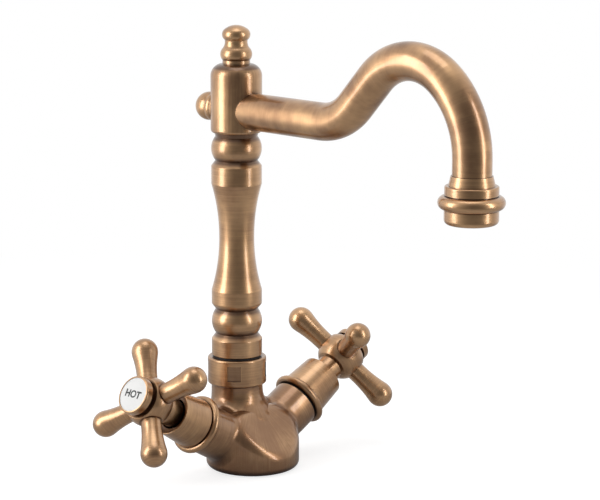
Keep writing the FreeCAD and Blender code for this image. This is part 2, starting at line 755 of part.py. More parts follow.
for side, name in ((-1, "hot"), (1, "cold")):
    valve = on_valve(side)
    housing = turned_part(f"{name}_cartridge_housing", valve, [
        ("cartridge_chamber_radius", "cartridge_seat"),
        ("cartridge_radius", "cartridge_seat"),
        ("cartridge_radius", "cartridge_seat + cartridge_chamber_depth / 2"),
        ("cartridge_radius - port_groove_depth", "cartridge_seat + cartridge_chamber_depth / 2"),
        ("cartridge_radius - port_groove_depth",
         "cartridge_seat + cartridge_chamber_depth / 2 + port_groove_width"),
        ("cartridge_radius", "cartridge_seat + cartridge_chamber_depth / 2 + port_groove_width"),
        ("cartridge_radius", CARTRIDGE_END),
        ("spindle_radius + running_gap", CARTRIDGE_END),
        ("spindle_radius + running_gap", "cartridge_seat + cartridge_chamber_depth"),
        ("cartridge_chamber_radius", "cartridge_seat + cartridge_chamber_depth"),
    ])
    port = drill(
        housing,
        "port_radius",
        "cartridge_radius + 1",
        place("0", "0", "cartridge_seat + cartridge_chamber_depth / 2 + port_groove_width / 2",
              "rotationy(90)"),
    )
    pattern_about_axis(housing, [port], 4)

    turned_part(f"{name}_seat_seal", valve, [
        ("disc_port_offset + disc_port_radius + seat_seal_margin", "cartridge_seat"),
        ("cartridge_chamber_radius - seat_gap", "cartridge_seat"),
        ("cartridge_chamber_radius - seat_gap", DISC_STATION),
        ("disc_port_offset + disc_port_radius + seat_seal_margin", DISC_STATION),
    ])

    fixed_disc = turned_part(f"{name}_fixed_disc", valve, [
        ("0", DISC_STATION),
        ("cartridge_chamber_radius - seat_gap", DISC_STATION),
        ("cartridge_chamber_radius - seat_gap", f"{DISC_STATION} + disc_thickness"),
        ("0", f"{DISC_STATION} + disc_thickness"),
    ])
    port = drill(fixed_disc, "disc_port_radius", "disc_thickness + 2",
                 place("disc_port_offset", "0", f"{DISC_STATION} - 1"))
    pattern_about_axis(fixed_disc, [port], 2)

    turned_part(f"{name}_flange_gasket", valve, [
        ("cartridge_radius + seat_gap", "boss_length"),
        ("cartridge_radius + flange_gasket_width", "boss_length"),
        ("cartridge_radius + flange_gasket_width", COLLAR_STATION),
        ("cartridge_radius + seat_gap", COLLAR_STATION),
    ])

    turned_part(f"{name}_bead_collar", valve, [
        ("cartridge_radius + thread_gap", COLLAR_STATION),
        ("bead_collar_rim", COLLAR_STATION),
        ("bead_collar_rim", f"{COLLAR_STATION} + bead_collar_length", "rise", "bead_collar_rise"),
        ("cartridge_radius + thread_gap", f"{COLLAR_STATION} + bead_collar_length"),
    ])

    turned_part(f"{name}_sleeve", valve, [
        ("cartridge_radius + thread_gap", SLEEVE_BACK),
        ("sleeve_back_radius", SLEEVE_BACK, "round", "sleeve_back_round"),
        ("sleeve_front_radius", SLEEVE_FRONT, "round", "sleeve_front_round"),
        ("sleeve_front_radius - sleeve_rim_wall", SLEEVE_FRONT),
        ("sleeve_front_radius - sleeve_rim_wall", SLEEVE_FACE),
        ("sleeve_hole_radius", SLEEVE_FACE),
        ("sleeve_hole_radius", f"{SLEEVE_FACE} - sleeve_wall_thickness"),
        ("cartridge_radius + thread_gap", f"{SLEEVE_FACE} - sleeve_wall_thickness"),
    ])

# ---------------------------------------------------------------------------------------
# Spindles and cross handles: these turn about the valves' axes.
# ---------------------------------------------------------------------------------------
CIRCLIP_STATION = f"({CARTRIDGE_END} + 2 * running_gap)"
CIRCLIP_BORE = "(spindle_radius - circlip_groove_depth + seat_gap)"
for side, name in ((-1, "hot"), (1, "cold")):
    rest = f"{-side} * {name}_rest_turn"
    handle = on_valve(side, rest)
    spindle = turned_part(f"{name}_spindle", handle, [
        ("0", FOOT_STATION),
        ("spindle_foot_radius", FOOT_STATION),
        ("spindle_foot_radius", f"{FOOT_STATION} + spindle_foot_thickness"),
        ("spindle_radius", f"{FOOT_STATION} + spindle_foot_thickness"),
        ("spindle_radius", f"{SPINDLE_SEAL_STATION} - spindle_seal_section - seat_gap"),
        ("spindle_radius - 2 * spindle_seal_section - 2 * seat_gap",
         f"{SPINDLE_SEAL_STATION} - spindle_seal_section - seat_gap"),
        ("spindle_radius - 2 * spindle_seal_section - 2 * seat_gap",
         f"{SPINDLE_SEAL_STATION} + spindle_seal_section + seat_gap"),
        ("spindle_radius", f"{SPINDLE_SEAL_STATION} + spindle_seal_section + seat_gap"),
        ("spindle_radius", CIRCLIP_STATION),
        ("spindle_radius - circlip_groove_depth", CIRCLIP_STATION),
        ("spindle_radius - circlip_groove_depth", f"{CIRCLIP_STATION} + circlip_thickness"),
        ("spindle_radius", f"{CIRCLIP_STATION} + circlip_thickness"),
        ("spindle_radius", SPINDLE_END),
        ("spindle_thread_radius", SPINDLE_END),
        ("spindle_thread_radius", f"{SPINDLE_END} - spindle_thread_depth"),
        ("0", f"{SPINDLE_END} - spindle_thread_depth"),
    ])

    moving_disc = turned_part(f"{name}_moving_disc", handle, [
        ("0", MOVING_DISC_STATION),
        ("cartridge_chamber_radius - disc_edge_gap", MOVING_DISC_STATION),
        ("cartridge_chamber_radius - disc_edge_gap", FOOT_STATION),
        ("0", FOOT_STATION),
    ])
    slot = drill(moving_disc, "disc_port_radius", "disc_thickness / 2 + 1",
                 place("0", "disc_port_offset", f"{MOVING_DISC_STATION} - 1"))
    pattern_about_axis(moving_disc, [slot], 2)

    ring_part(f"{name}_spindle_seal", handle, "spindle_radius - seat_gap - spindle_seal_section",
              SPINDLE_SEAL_STATION, "spindle_seal_section")

    turned_part(f"{name}_circlip", handle, [
        (CIRCLIP_BORE, CIRCLIP_STATION),
        (f"{CIRCLIP_BORE} + circlip_width", CIRCLIP_STATION),
        (f"{CIRCLIP_BORE} + circlip_width", f"{CIRCLIP_STATION} + circlip_thickness"),
        (CIRCLIP_BORE, f"{CIRCLIP_STATION} + circlip_thickness"),
    ], sweep=300)

    hub = turned_part(f"{name}_handle_hub", handle, [
        ("hub_skirt_bore", HUB_START),
        ("hub_skirt_radius", HUB_START),
        ("hub_skirt_radius", HUB_BACK),
        ("hub_back_radius", f"{HUB_BACK} + hub_back_chamfer"),
        ("hub_front_radius", HUB_FRONT, "rise", "hub_rise"),
        ("hub_neck_radius", HUB_FRONT),
        ("hub_neck_radius", BEZEL_BACK),
        ("bezel_spigot_radius + seat_gap", BEZEL_BACK),
        ("bezel_spigot_radius + seat_gap", f"{BEZEL_BACK} - bezel_spigot_length - seat_gap"),
        ("screw_head_radius + 6 * seat_gap", f"{BEZEL_BACK} - bezel_spigot_length - seat_gap"),
        ("screw_head_radius + 6 * seat_gap", SCREW_SEAT),
        ("spindle_thread_radius + 2 * seat_gap", SCREW_SEAT),
        ("spindle_thread_radius + 2 * seat_gap", f"{SPINDLE_END} + seat_gap"),
        ("spindle_radius + seat_gap", f"{SPINDLE_END} + seat_gap"),
        ("spindle_radius + seat_gap", HUB_SOCKET),
        ("hub_skirt_bore", HUB_SOCKET),
    ])
    flat = drill(hub, "arm_root_radius + 1", "hub_front_radius",
                 place("hub_flat", "0", ARM_STATION, "rotationy(90)"))
    pattern_about_axis(hub, [flat], 4)
    stub_hole = drill(hub, "arm_stub_radius + seat_gap", "arm_stub_length + seat_gap + 1",
                      place("hub_flat - arm_stub_length - seat_gap", "0", ARM_STATION,
                            "rotationy(90)"))
    pattern_about_axis(hub, [stub_hole], 4)

    for arm in range(4):
        turned_part(f"{name}_arm_{arm + 1}", f"{handle} * " + place(
            "0", "0", ARM_STATION, f"rotationz({90 * arm}) * rotationy(90)"), [
            ("0", "hub_flat - arm_stub_length"),
            ("arm_stub_radius", "hub_flat - arm_stub_length"),
            ("arm_stub_radius", "hub_flat"),
            ("arm_root_radius", "hub_flat"),
            ("arm_root_radius", "hub_flat + arm_root_length"),
            ("arm_shoulder_radius", "arm_shoulder", "rise", "-arm_waist_rise"),
            ("arm_ball_radius", "arm_ball_centre", "rise", "arm_shoulder_rise"),
            ("0", "arm_ball_centre + arm_ball_radius", "cap"),
        ])

    screw = turned_part(f"{name}_handle_screw", handle, [
        ("0", f"{SCREW_SEAT} - hub_screw_web - screw_engagement"),
        ("spindle_thread_radius - seat_gap",
         f"{SCREW_SEAT} - hub_screw_web - screw_engagement"),
        ("spindle_thread_radius - seat_gap", SCREW_SEAT),
        ("screw_head_radius", SCREW_SEAT),
        ("screw_head_radius", f"{SCREW_SEAT} + screw_head_height"),
        ("0", f"{SCREW_SEAT} + screw_head_height"),
    ])
    primitive(
        screw,
        "SubtractivePrism",
        {"Circumradius": "screw_socket_width / 1.732", "Height": "screw_socket_depth + 1"},
        place("0", "0", f"{SCREW_SEAT} + screw_head_height - screw_socket_depth"),
    )

    turned_part(f"{name}_index_bezel", handle, [
        ("0", f"{BEZEL_BACK} - bezel_spigot_length"),
        ("bezel_spigot_radius", f"{BEZEL_BACK} - bezel_spigot_length"),
        ("bezel_spigot_radius", BEZEL_BACK),
        ("bezel_radius", BEZEL_BACK),
        ("bezel_radius", BEZEL_FRONT, "round", "bezel_round"),
        ("index_radius + seat_gap", BEZEL_FRONT),
        ("index_radius + seat_gap", f"{BEZEL_FRONT} - index_thickness - index_dome - seat_gap"),
        ("0", f"{BEZEL_FRONT} - index_thickness - index_dome - seat_gap"),
    ])

    turned_part(f"{name}_index_disc", handle, [
        ("0", f"{BEZEL_FRONT} - index_thickness - index_dome"),
        ("index_radius", f"{BEZEL_FRONT} - index_thickness - index_dome"),
        ("index_radius", f"{BEZEL_FRONT} - index_dome"),
        ("0", BEZEL_FRONT, "cap"),
    ])

# ---------------------------------------------------------------------------------------
# Swivel shank and its seals, turning in the neck of the casting.
# ---------------------------------------------------------------------------------------
RING_TOP = f"({NUT_TOP} - nut_lip - ring_drop)"
shank_outline = [
    ("shank_bore_radius", "shank_bottom"),
    ("shank_radius", "shank_bottom", "round", "shank_end_round"),
]
for seal_height in ("lower_seal_height", "upper_seal_height"):
    shank_outline += [
        ("shank_radius", f"{seal_height} - shank_seal_section - seat_gap"),
        ("shank_radius - 2 * shank_seal_section - 2 * seat_gap",
         f"{seal_height} - shank_seal_section - seat_gap"),
        ("shank_radius - 2 * shank_seal_section - 2 * seat_gap",
         f"{seal_height} + shank_seal_section + seat_gap"),
        ("shank_radius", f"{seal_height} + shank_seal_section + seat_gap"),
    ]
shank_outline += [
    ("shank_radius", f"{RING_TOP} - ring_thickness"),
    ("shank_radius - ring_groove_depth", f"{RING_TOP} - ring_thickness"),
    ("shank_radius - ring_groove_depth", RING_TOP),
    ("shank_radius", RING_TOP),
    ("shank_radius", COLLAR_BOTTOM),
    (PIPE_BORE, COLLAR_BOTTOM),
    (PIPE_BORE, "shank_step"),
    ("shank_bore_radius", "shank_step"),
]
turned_part("swivel_shank", ON_COLUMN, shank_outline)
for seal_name, seal_height in (("lower", "lower_seal_height"), ("upper", "upper_seal_height")):
    ring_part(f"{seal_name}_shank_seal", ON_COLUMN, "shank_radius - seat_gap - shank_seal_section",
              seal_height, "shank_seal_section")

turned_part("retaining_ring", ON_COLUMN, [
    ("shank_radius - ring_groove_depth + seat_gap", f"{RING_TOP} - ring_thickness"),
    ("shank_radius - ring_groove_depth + ring_width", f"{RING_TOP} - ring_thickness"),
    ("shank_radius - ring_groove_depth + ring_width", RING_TOP),
    ("shank_radius - ring_groove_depth + seat_gap", RING_TOP),
], sweep=330)

# ---------------------------------------------------------------------------------------
# Turned column, stacked from the nut up.
# ---------------------------------------------------------------------------------------
turned_part("lower_collar", ON_COLUMN, [
    (PIPE_BORE, COLLAR_BOTTOM),
    ("collar_radius", COLLAR_BOTTOM, "round", "collar_foot_round"),
    ("collar_radius", f"{BEAD_BOTTOM} - collar_cove", "round", "collar_top_round"),
    ("groove_radius", BEAD_BOTTOM),
    (PIPE_BORE, BEAD_BOTTOM),
])

turned_part("lower_bead", ON_COLUMN, [
    (PIPE_BORE, BEAD_BOTTOM),
    ("groove_radius", BEAD_BOTTOM),
    ("groove_radius", BALUSTER_BOTTOM, "rise", "bead_rise"),
    (PIPE_BORE, BALUSTER_BOTTOM),
])

BAND_TOP = f"({BALUSTER_BOTTOM} + vase_foot_height + vase_band_height)"
VASE_TOP = f"({UPPER_BEAD_BOTTOM} - vase_foot_height)"
VASE_BAND_BOTTOM = f"({VASE_TOP} - vase_top_band)"
WAIST = f"({BALUSTER_BOTTOM} + waist_height)"
turned_part("baluster", ON_COLUMN, [
    (PIPE_BORE, BALUSTER_BOTTOM),
    ("groove_radius", BALUSTER_BOTTOM),
    ("vase_radius", f"{BALUSTER_BOTTOM} + vase_foot_height", "round", "vase_foot_round"),
    ("vase_radius", BAND_TOP),
    ("waist_radius", WAIST, "rise", "-waist_lower_rise"),
    ("vase_radius", VASE_BAND_BOTTOM, "rise", "-waist_upper_rise"),
    ("vase_radius", VASE_TOP, "round", "vase_top_round"),
    ("groove_radius", UPPER_BEAD_BOTTOM),
    (PIPE_BORE, UPPER_BEAD_BOTTOM),
])

turned_part("upper_bead", ON_COLUMN, [
    (PIPE_BORE, UPPER_BEAD_BOTTOM),
    ("groove_radius", UPPER_BEAD_BOTTOM),
    ("groove_radius", BLOCK_BOTTOM, "rise", "bead_rise"),
    (PIPE_BORE, BLOCK_BOTTOM),
])

PIPE_TOP = f"({BLOCK_BOTTOM} + pipe_socket)"
turned_part("stand_pipe", ON_COLUMN, [
    ("shank_bore_radius", "shank_step + seat_gap"),
    ("pipe_radius", "shank_step + seat_gap"),
    ("pipe_radius", f"{PIPE_TOP} - seat_gap"),
    ("shank_bore_radius", f"{PIPE_TOP} - seat_gap"),
])

block = turned_part("head_block", ON_COLUMN, [
    (PIPE_BORE, BLOCK_BOTTOM),
    ("groove_radius", BLOCK_BOTTOM),
    ("groove_radius + block_foot_flare", f"{BLOCK_BOTTOM} + block_foot_height"),
    ("block_radius", f"{BLOCK_BOTTOM} + block_foot_height", "round", "block_foot_round"),
    ("block_radius", BLOCK_TOP, "round", "block_top_round"),
    ("finial_stud_radius + thread_gap", BLOCK_TOP),
    ("finial_stud_radius + thread_gap", f"{BLOCK_TOP} - finial_stud_length - seat_gap"),
    ("0", f"{BLOCK_TOP} - finial_stud_length - seat_gap"),
    ("0", "tube_level + tube_bore_radius - 1"),
    ("shank_bore_radius", "tube_level"),
    ("shank_bore_radius", PIPE_TOP),
    (PIPE_BORE, PIPE_TOP),
])
drill(block, "tube_radius + seat_gap", "block_radius",
      place("0", "-tube_start + seat_gap", "tube_level", "rotationx(90)"))
drill(block, "tube_bore_radius", "tube_start + 1",
      place("0", "0", "tube_level", "rotationx(90)"))
drill(block, "knob_collar_radius + seat_gap", "block_radius",
      place("0", "knob_seat", "tube_level", "rotationx(-90)"))
drill(block, "knob_stud_radius + thread_gap", "knob_stud_length + 1",
      place("0", "knob_seat - knob_stud_length - seat_gap", "tube_level", "rotationx(-90)"))

FINIAL_BEAD = f"({BLOCK_TOP} + finial_stem_height)"
FINIAL_COVE = f"({FINIAL_BEAD} + finial_bead_height)"
FINIAL_BALL = f"({FINIAL_COVE} + finial_cove_height)"
FINIAL_CAP = f"({FINIAL_BALL} + finial_ball_height)"
turned_part("finial", ON_COLUMN, [
    ("0", f"{BLOCK_TOP} - finial_stud_length"),
    ("finial_stud_radius", f"{BLOCK_TOP} - finial_stud_length"),
    ("finial_stud_radius", BLOCK_TOP),
    ("finial_stem_radius", BLOCK_TOP),
    ("finial_stem_radius", FINIAL_BEAD),
    ("finial_stem_radius - finial_bead_taper", FINIAL_COVE, "rise", "finial_bead_rise"),
    ("finial_neck_radius", FINIAL_BALL, "rise", "-finial_cove_rise"),
    ("finial_neck_radius", FINIAL_CAP, "rise", "finial_ball_rise"),
    ("0", f"{FINIAL_CAP} + finial_cap_height", "cap"),
])

turned_part("rear_knob", place("0", "column_setback", "tube_level", "rotationx(-90)"), [
    ("0", "knob_seat - knob_stud_length"),
    ("knob_stud_radius", "knob_seat - knob_stud_length"),
    ("knob_stud_radius", "knob_seat"),
    ("knob_collar_radius", "knob_seat"),
    ("knob_collar_radius", "block_radius"),
    ("knob_crease_radius", "knob_seat + knob_collar_length", "rise", "knob_collar_rise"),
    ("0", "knob_end", "cap"),
])

# ---------------------------------------------------------------------------------------
# Swan-neck tube: level out of the block, up, over the crown and straight down.
# ---------------------------------------------------------------------------------------
tube = new_body("spout_tube", place("0", "column_setback", "0", "rotationz(-90)"))
path = new_sketch(tube, "XZ_Plane")
ring = new_sketch(tube, "YZ_Plane")
ring.setExpression("AttachmentOffset.Base.z", bound("tube_start"))
for ring_name, ring_radius in (("outer", "tube_radius"), ("inner", "tube_bore_radius")):
    circle = ring.addGeometry(
        Part.Circle(Vector(0, value("tube_level"), 0), Vector(0, 0, 1), value(ring_radius)), False
    )
    place_point(ring, ring_name, circle, 3, "0", "tube_level")
    constrain(ring, ring_name + "_radius", ring_radius, "Radius", circle)

level = value("tube_level")
rise_angle = math.radians(value("tube_rise_angle"))
rise_bend = value("tube_rise_bend")
crown_bend = value("tube_crown_bend")
fall_bend = value("tube_fall_bend")
run_end = Vector(value(TUBE_LEVEL_RUN), level, 0)
rise_centre = run_end + Vector(0, rise_bend, 0)
rise_start = rise_centre + Vector(math.sin(rise_angle), -math.cos(rise_angle), 0) * rise_bend
uphill = Vector(math.cos(rise_angle), math.sin(rise_angle), 0)
rise_end = rise_start + uphill * value("tube_rise_run")
crown_centre = rise_end + Vector(math.sin(rise_angle), -math.cos(rise_angle), 0) * crown_bend
fall_turn = math.radians(value("tube_fall_angle"))
fall_centre = crown_centre - Vector(math.cos(fall_turn), math.sin(fall_turn), 0) * (
    fall_bend - crown_bend
)
fall_start = crown_centre + Vector(math.cos(fall_turn), math.sin(fall_turn), 0) * crown_bend
fall_end = fall_centre + Vector(fall_bend, 0, 0)
tube_end = Vector(fall_end.x, value(TUBE_END), 0)


def bend(centre, radius, start, end):
    """An arc about a centre, counter-clockwise from one point to the other."""
    from_angle = math.atan2(start.y - centre.y, start.x - centre.x)
    to_angle = math.atan2(end.y - centre.y, end.x - centre.x)
    if to_angle <= from_angle:
        to_angle += 2 * math.pi
    return Part.ArcOfCircle(Part.Circle(centre, Vector(0, 0, 1), radius), from_angle, to_angle)


start = Vector(value("tube_start"), level, 0)
level_run = path.addGeometry(Part.LineSegment(start, run_end), False)
rise_arc = path.addGeometry(bend(rise_centre, rise_bend, run_end, rise_start), False)
rise_run = path.addGeometry(Part.LineSegment(rise_start, rise_end), False)
crown_arc = path.addGeometry(bend(crown_centre, crown_bend, fall_start, rise_end), False)
fall_arc = path.addGeometry(bend(fall_centre, fall_bend, fall_end, fall_start), False)
drop_run = path.addGeometry(Part.LineSegment(fall_end, tube_end), False)
for joint in (
    (level_run, 2, rise_arc, 1),
    (rise_arc, 2, rise_run, 1),
    (rise_run, 2, crown_arc, 2),
    (crown_arc, 1, fall_arc, 2),
    (fall_arc, 1, drop_run, 1),
):
    path.addConstraint(Sketcher.Constraint("Tangent", *joint))
path.addConstraint(Sketcher.Constraint("Horizontal", level_run))
path.addConstraint(Sketcher.Constraint("Vertical", drop_run))
place_point(path, "start", level_run, 1, "tube_start", "tube_level")
constrain(path, "level_end", TUBE_LEVEL_RUN, "DistanceX", -1, 1, level_run, 2)
constrain(path, "rise_bend", "tube_rise_bend", "Radius", rise_arc)
constrain(path, "rise_run", "tube_rise_run", "Distance", rise_run)
constrain(path, "crown_bend", "tube_crown_bend", "Radius", crown_arc)
constrain(path, "fall_bend", "tube_fall_bend", "Radius", fall_arc)
constrain(path, "reach", "spout_reach", "DistanceX", -1, 1, drop_run, 2)
constrain(path, "end_height", TUBE_END, "DistanceY", -1, 1, drop_run, 2)
angle = path.addConstraint(Sketcher.Constraint("Angle", rise_run, rise_angle))
path.renameConstraint(angle, "rise_angle")
path.setExpression("Constraints.rise_angle", bound("tube_rise_angle"))
doc.recompute()
swept = tube.newObject("PartDesign::AdditivePipe", "Swept")
swept.Profile = ring
swept.Spine = (path, [f"Edge{i + 1}" for i in range(6)])

# ---------------------------------------------------------------------------------------
# Spout end: a beaded ferrule on the tube and the aerator screwed into it.
# ---------------------------------------------------------------------------------------
BEAD_TOP = f"({SHELL_TOP} + outlet_bead_height)"
FERRULE_BAND = f"({BEAD_TOP} + outlet_groove_width)"
FERRULE_BAND_TOP = f"({FERRULE_BAND} + ferrule_band_height)"
turned_part("outlet_ferrule", ON_OUTLET, [
    ("shell_neck_radius + thread_gap", SHELL_TOP),
    ("outlet_bead_rim", SHELL_TOP),
    ("outlet_bead_rim", BEAD_TOP, "rise", "outlet_bead_rise"),
    ("ferrule_band_radius - outlet_groove_depth", BEAD_TOP),
    ("ferrule_band_radius - outlet_groove_depth", FERRULE_BAND),
    ("ferrule_band_radius", FERRULE_BAND),
    ("ferrule_band_radius", FERRULE_BAND_TOP, "round", "ferrule_band_round"),
    ("ferrule_foot_radius", FERRULE_BAND_TOP),
    ("ferrule_top_radius", FERRULE_TOP),
    ("tube_radius + seat_gap", FERRULE_TOP),
    ("tube_radius + seat_gap", f"{TUBE_END} - seat_gap"),
    ("tube_bore_radius", f"{TUBE_END} - seat_gap"),
    ("tube_bore_radius", f"{NECK_TOP} + aerator_washer_thickness + seat_gap"),
    ("shell_neck_radius + thread_gap", f"{NECK_TOP} + aerator_washer_thickness + seat_gap"),
])

turned_part("aerator_shell", ON_OUTLET, [
    ("shell_bore_radius - shell_lip", OUTLET_BOTTOM),
    ("shell_radius", OUTLET_BOTTOM, "round", "shell_round"),
    ("shell_radius", SHELL_TOP, "round", "shell_top_round"),
    ("shell_neck_radius", SHELL_TOP),
    ("shell_neck_radius", NECK_TOP),
    ("shell_bore_radius", NECK_TOP),
    ("shell_bore_radius", f"{OUTLET_BOTTOM} + aerator_recess"),
    ("shell_bore_radius - shell_lip", f"{OUTLET_BOTTOM} + aerator_recess"),
])

insert = turned_part("aerator_insert", ON_OUTLET, [
    ("0", f"{OUTLET_BOTTOM} + aerator_recess"),
    ("shell_bore_radius - seat_gap", f"{OUTLET_BOTTOM} + aerator_recess"),
    ("shell_bore_radius - seat_gap", f"{OUTLET_BOTTOM} + aerator_recess + aerator_height"),
    ("0", f"{OUTLET_BOTTOM} + aerator_recess + aerator_height"),
])
jet = drill(insert, "aerator_hole_radius", "aerator_height + 2",
            place("aerator_hole_ring", "0", f"{OUTLET_BOTTOM} + aerator_recess - 1"))
pattern_about_axis(insert, [jet], "aerator_hole_count")

turned_part("aerator_washer", ON_OUTLET, [
    ("aerator_washer_hole", NECK_TOP),
    ("shell_neck_radius - seat_gap", NECK_TOP),
    ("shell_neck_radius - seat_gap", f"{NECK_TOP} + aerator_washer_thickness"),
    ("aerator_washer_hole", f"{NECK_TOP} + aerator_washer_thickness"),
])

# ---------------------------------------------------------------------------------------
# Check every object, then write each sub-part to its own file.
# ---------------------------------------------------------------------------------------
doc.recompute()
faults = []
for item in doc.Objects:
    if "Invalid" in item.State or "Error" in item.State:
        faults.append(f"{item.Name} in {item.getParentGeoFeatureGroup()}: {item.State}")
    if item.TypeId.startswith("PartDesign::Subtractive") or item.TypeId == "PartDesign::Pocket":
        if item.Shape.Volume > item.BaseFeature.Shape.Volume - 0.01:
            faults.append(f"{item.Name} of {item.getParentGeoFeatureGroup().Label} cuts nothing")
for body in nodes:
    if body.Shape.isNull() or not body.Shape.isValid():
        faults.append(f"{body.Label} has no valid shape")
    elif len(body.Shape.Solids) != 1:
        faults.append(f"{body.Label} has {len(body.Shape.Solids)} solids")
bore_area = math.pi * (value("tube_radius") ** 2 - value("tube_bore_radius") ** 2)
path_length = sum(edge.Length for edge in path.Shape.Edges)
if abs(tube.Shape.Volume - bore_area * path_length) > 0.01 * tube.Shape.Volume:
    faults.append("the spout tube's volume is not its section times its length")
if faults:
    raise RuntimeError("\n".join(faults))

os.makedirs("parts", exist_ok=True)
for body in nodes:
    body.Shape.exportStep(f"parts/{body.Label}.step")
print(len(nodes), "parts written")
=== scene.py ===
import math

import bpy
from mathutils import Matrix, Vector


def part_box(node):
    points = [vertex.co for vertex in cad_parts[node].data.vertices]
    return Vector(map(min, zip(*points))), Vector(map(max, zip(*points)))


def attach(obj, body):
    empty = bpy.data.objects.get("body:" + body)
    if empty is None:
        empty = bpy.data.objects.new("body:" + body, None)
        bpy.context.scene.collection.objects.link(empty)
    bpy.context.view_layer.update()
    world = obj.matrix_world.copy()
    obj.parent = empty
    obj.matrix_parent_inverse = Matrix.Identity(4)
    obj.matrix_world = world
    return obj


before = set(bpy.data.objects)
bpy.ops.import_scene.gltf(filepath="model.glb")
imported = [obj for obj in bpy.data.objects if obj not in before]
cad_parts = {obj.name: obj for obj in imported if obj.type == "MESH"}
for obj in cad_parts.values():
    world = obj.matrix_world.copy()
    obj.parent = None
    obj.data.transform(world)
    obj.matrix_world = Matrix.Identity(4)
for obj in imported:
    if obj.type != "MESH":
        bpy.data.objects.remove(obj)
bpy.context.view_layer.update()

bl_info = {
    "name": "Cross handle tap",
    "version": (1, 0, 0),
    "blender": (4, 5, 0),
    "location": "3D View > Sidebar > Tap",
    "description": "Dresses the cross handle tap in aged brass, porcelain and rubber",
    "category": "Object",
}

# Where the tap's axes run, in metres, in the part's own frame.
COLUMN_Y = 0.0119
VALVE_TILT = math.radians(29.2)
VALVE_ORIGIN = Vector((0.0, 0.0031, 0.00765))
ARM_STATION = 0.07995
BASE_RADIUS = 0.0246
TUBE_LEVEL = 0.1891
CROWN_CENTRE = Vector((0.0, -0.1077, 0.1833))
CROWN_RADIUS = 0.042
SIDES = {"hot": -1, "cold": 1}
UPRIGHT = (0.0, 0.0, 1.0)

# Which pieces share a finish.
BEADED_PIECES = ("lower_collar", "lower_bead", "baluster", "upper_bead")
TURNED_PIECES = ("finial", "outlet_ferrule", "aerator_shell", "swivel_shank", "stand_pipe")
VALVE_PIECES = ("bead_collar", "sleeve", "handle_hub", "index_bezel", "cartridge_housing",
                "spindle")

# How many times broader than the brush line each piece's marks are.
NUT_BRUSH = 1.5
BLOCK_BRUSH = 2.0
CASTING_BRUSH = 1.6
BOSS_BRUSH = 1.3
VALVE_BRUSH = 1.2
TUBE_BRUSH = 1.2

# How far the rub leans to bright brass, or below 0 to aged brass.
TURNED_POLISH = 0.05
ARM_POLISH = 0.02
CASTING_POLISH = -0.12

# Where one finish passes into another. Each pair is a smooth step's start and end, in metres.
NECK_START = (0.030, 0.040)
BOSS_START = (0.020, 0.028)
BOSS_EDGE = (0.0165, 0.0140)
CROWN_START = (0.062, 0.078)
# Where grooves are darkened as painted shade and patina, and notch floors as painted shade.
BEAD_GROOVE = (0.0128, 0.0116)
BLOCK_GROOVE = (0.0126, 0.0116)
NUT_NOTCH = (0.01535, 0.0150)
NOTCH_SHADE_SHARE = 0.4
BALUSTER_FOOT = (0.0034, 0.0022)
BALUSTER_HEAD = (-0.0030, -0.0018)

# How the brass wears and where shade is painted into it: reaches in metres, noise scales per
# metre, smooth steps and shares.
MARK_DRIFT = ((60.0, 35.0, 0.0), (0.0, 45.0, 60.0))
BROAD_MARK = (0.4, 0.7, 0.7)
FINE_SHARE = 0.6
STREAK_SHARE = 0.4
TUBE_STREAK_SHARE = 0.2
CLOUD_SCALE = 60.0
RUB_LOW, RUB_HIGH = 0.28, 0.72
EDGE_REACH = 0.0007
EDGE_STEP = (0.85, 0.45)
EDGE_SHARE = 0.5
STAIN_SCALE = 34.0
STAIN_STEP = (0.55, 0.72)
STAIN_SHARE = 0.36
# Ambient occlusion reaches, steps and shares of the painted shade in creases and hollows.
CREVICE_REACH = 0.006
CREVICE_STEP = (0.9, 0.4)
CREVICE_SHADE_SHARE = 0.9
HOLLOW_REACH = 0.018
HOLLOW_STEP = (0.8, 0.3)
HOLLOW_SHADE_SHARE = 0.7
# Share of the painted shade and patina laid in grooves and notch floors.
GROOVE_SHADE_SHARE = 0.8
MARK_ROUGHNESS = 0.14
MARK_HEIGHT = 0.00008

# The other finishes: the two colours of each grain, and the grain's noise scale per metre.
RUBBER_COLOURS = ((0.014, 0.012, 0.011), (0.035, 0.031, 0.029))
RUBBER_GRAIN = 2400.0
RUBBER_ROUGHNESS = 0.62
STEEL_COLOURS = ((0.46, 0.46, 0.47), (0.66, 0.66, 0.66))
STEEL_GRAIN = (900.0, 900.0, 5200.0)
STEEL_ROUGHNESS = 0.22
STEEL_ROUGHER = 0.2
CERAMIC_COLOURS = ((0.72, 0.70, 0.66), (0.86, 0.85, 0.82))
CERAMIC_GRAIN = 1800.0
CERAMIC_ROUGHNESS = 0.25
PLASTIC_COLOURS = ((0.70, 0.69, 0.66), (0.82, 0.81, 0.78))
PLASTIC_GRAIN = 900.0
PLASTIC_ROUGHNESS = 0.45
ENAMEL_CLOUD = 160.0
ENAMEL_SHADE = 0.965
ENAMEL_ROUGHNESS = 0.12
ENAMEL_GLAZE = 0.6
ENAMEL_GLAZE_ROUGHNESS = 0.04
INK_GRAIN = 3000.0
INK_PALER = 2.2
INK_ROUGHNESS = 0.3

# The index words: where the disc's face lies along the valve's axis, how far the letters stand
# up from it, and how much bolder they are, as a share of their height.
INDEX_FACE = 0.09256
LETTER_RAISE = 0.00004
LETTER_BOLDER = 0.03

# The studio is darkest a little to the right of the camera and palest behind the tap. Its turn
# is in degrees, and its level maps how far a direction faces the dark side to a brightness.
DARK_TURN = 18.0
STUDIO_LEVEL = {"From Min": 0.95, "From Max": -0.25, "To Min": 0.17, "To Max": 0.86}
STUDIO_CENTRE = Vector((0.0, -0.03, 0.13))

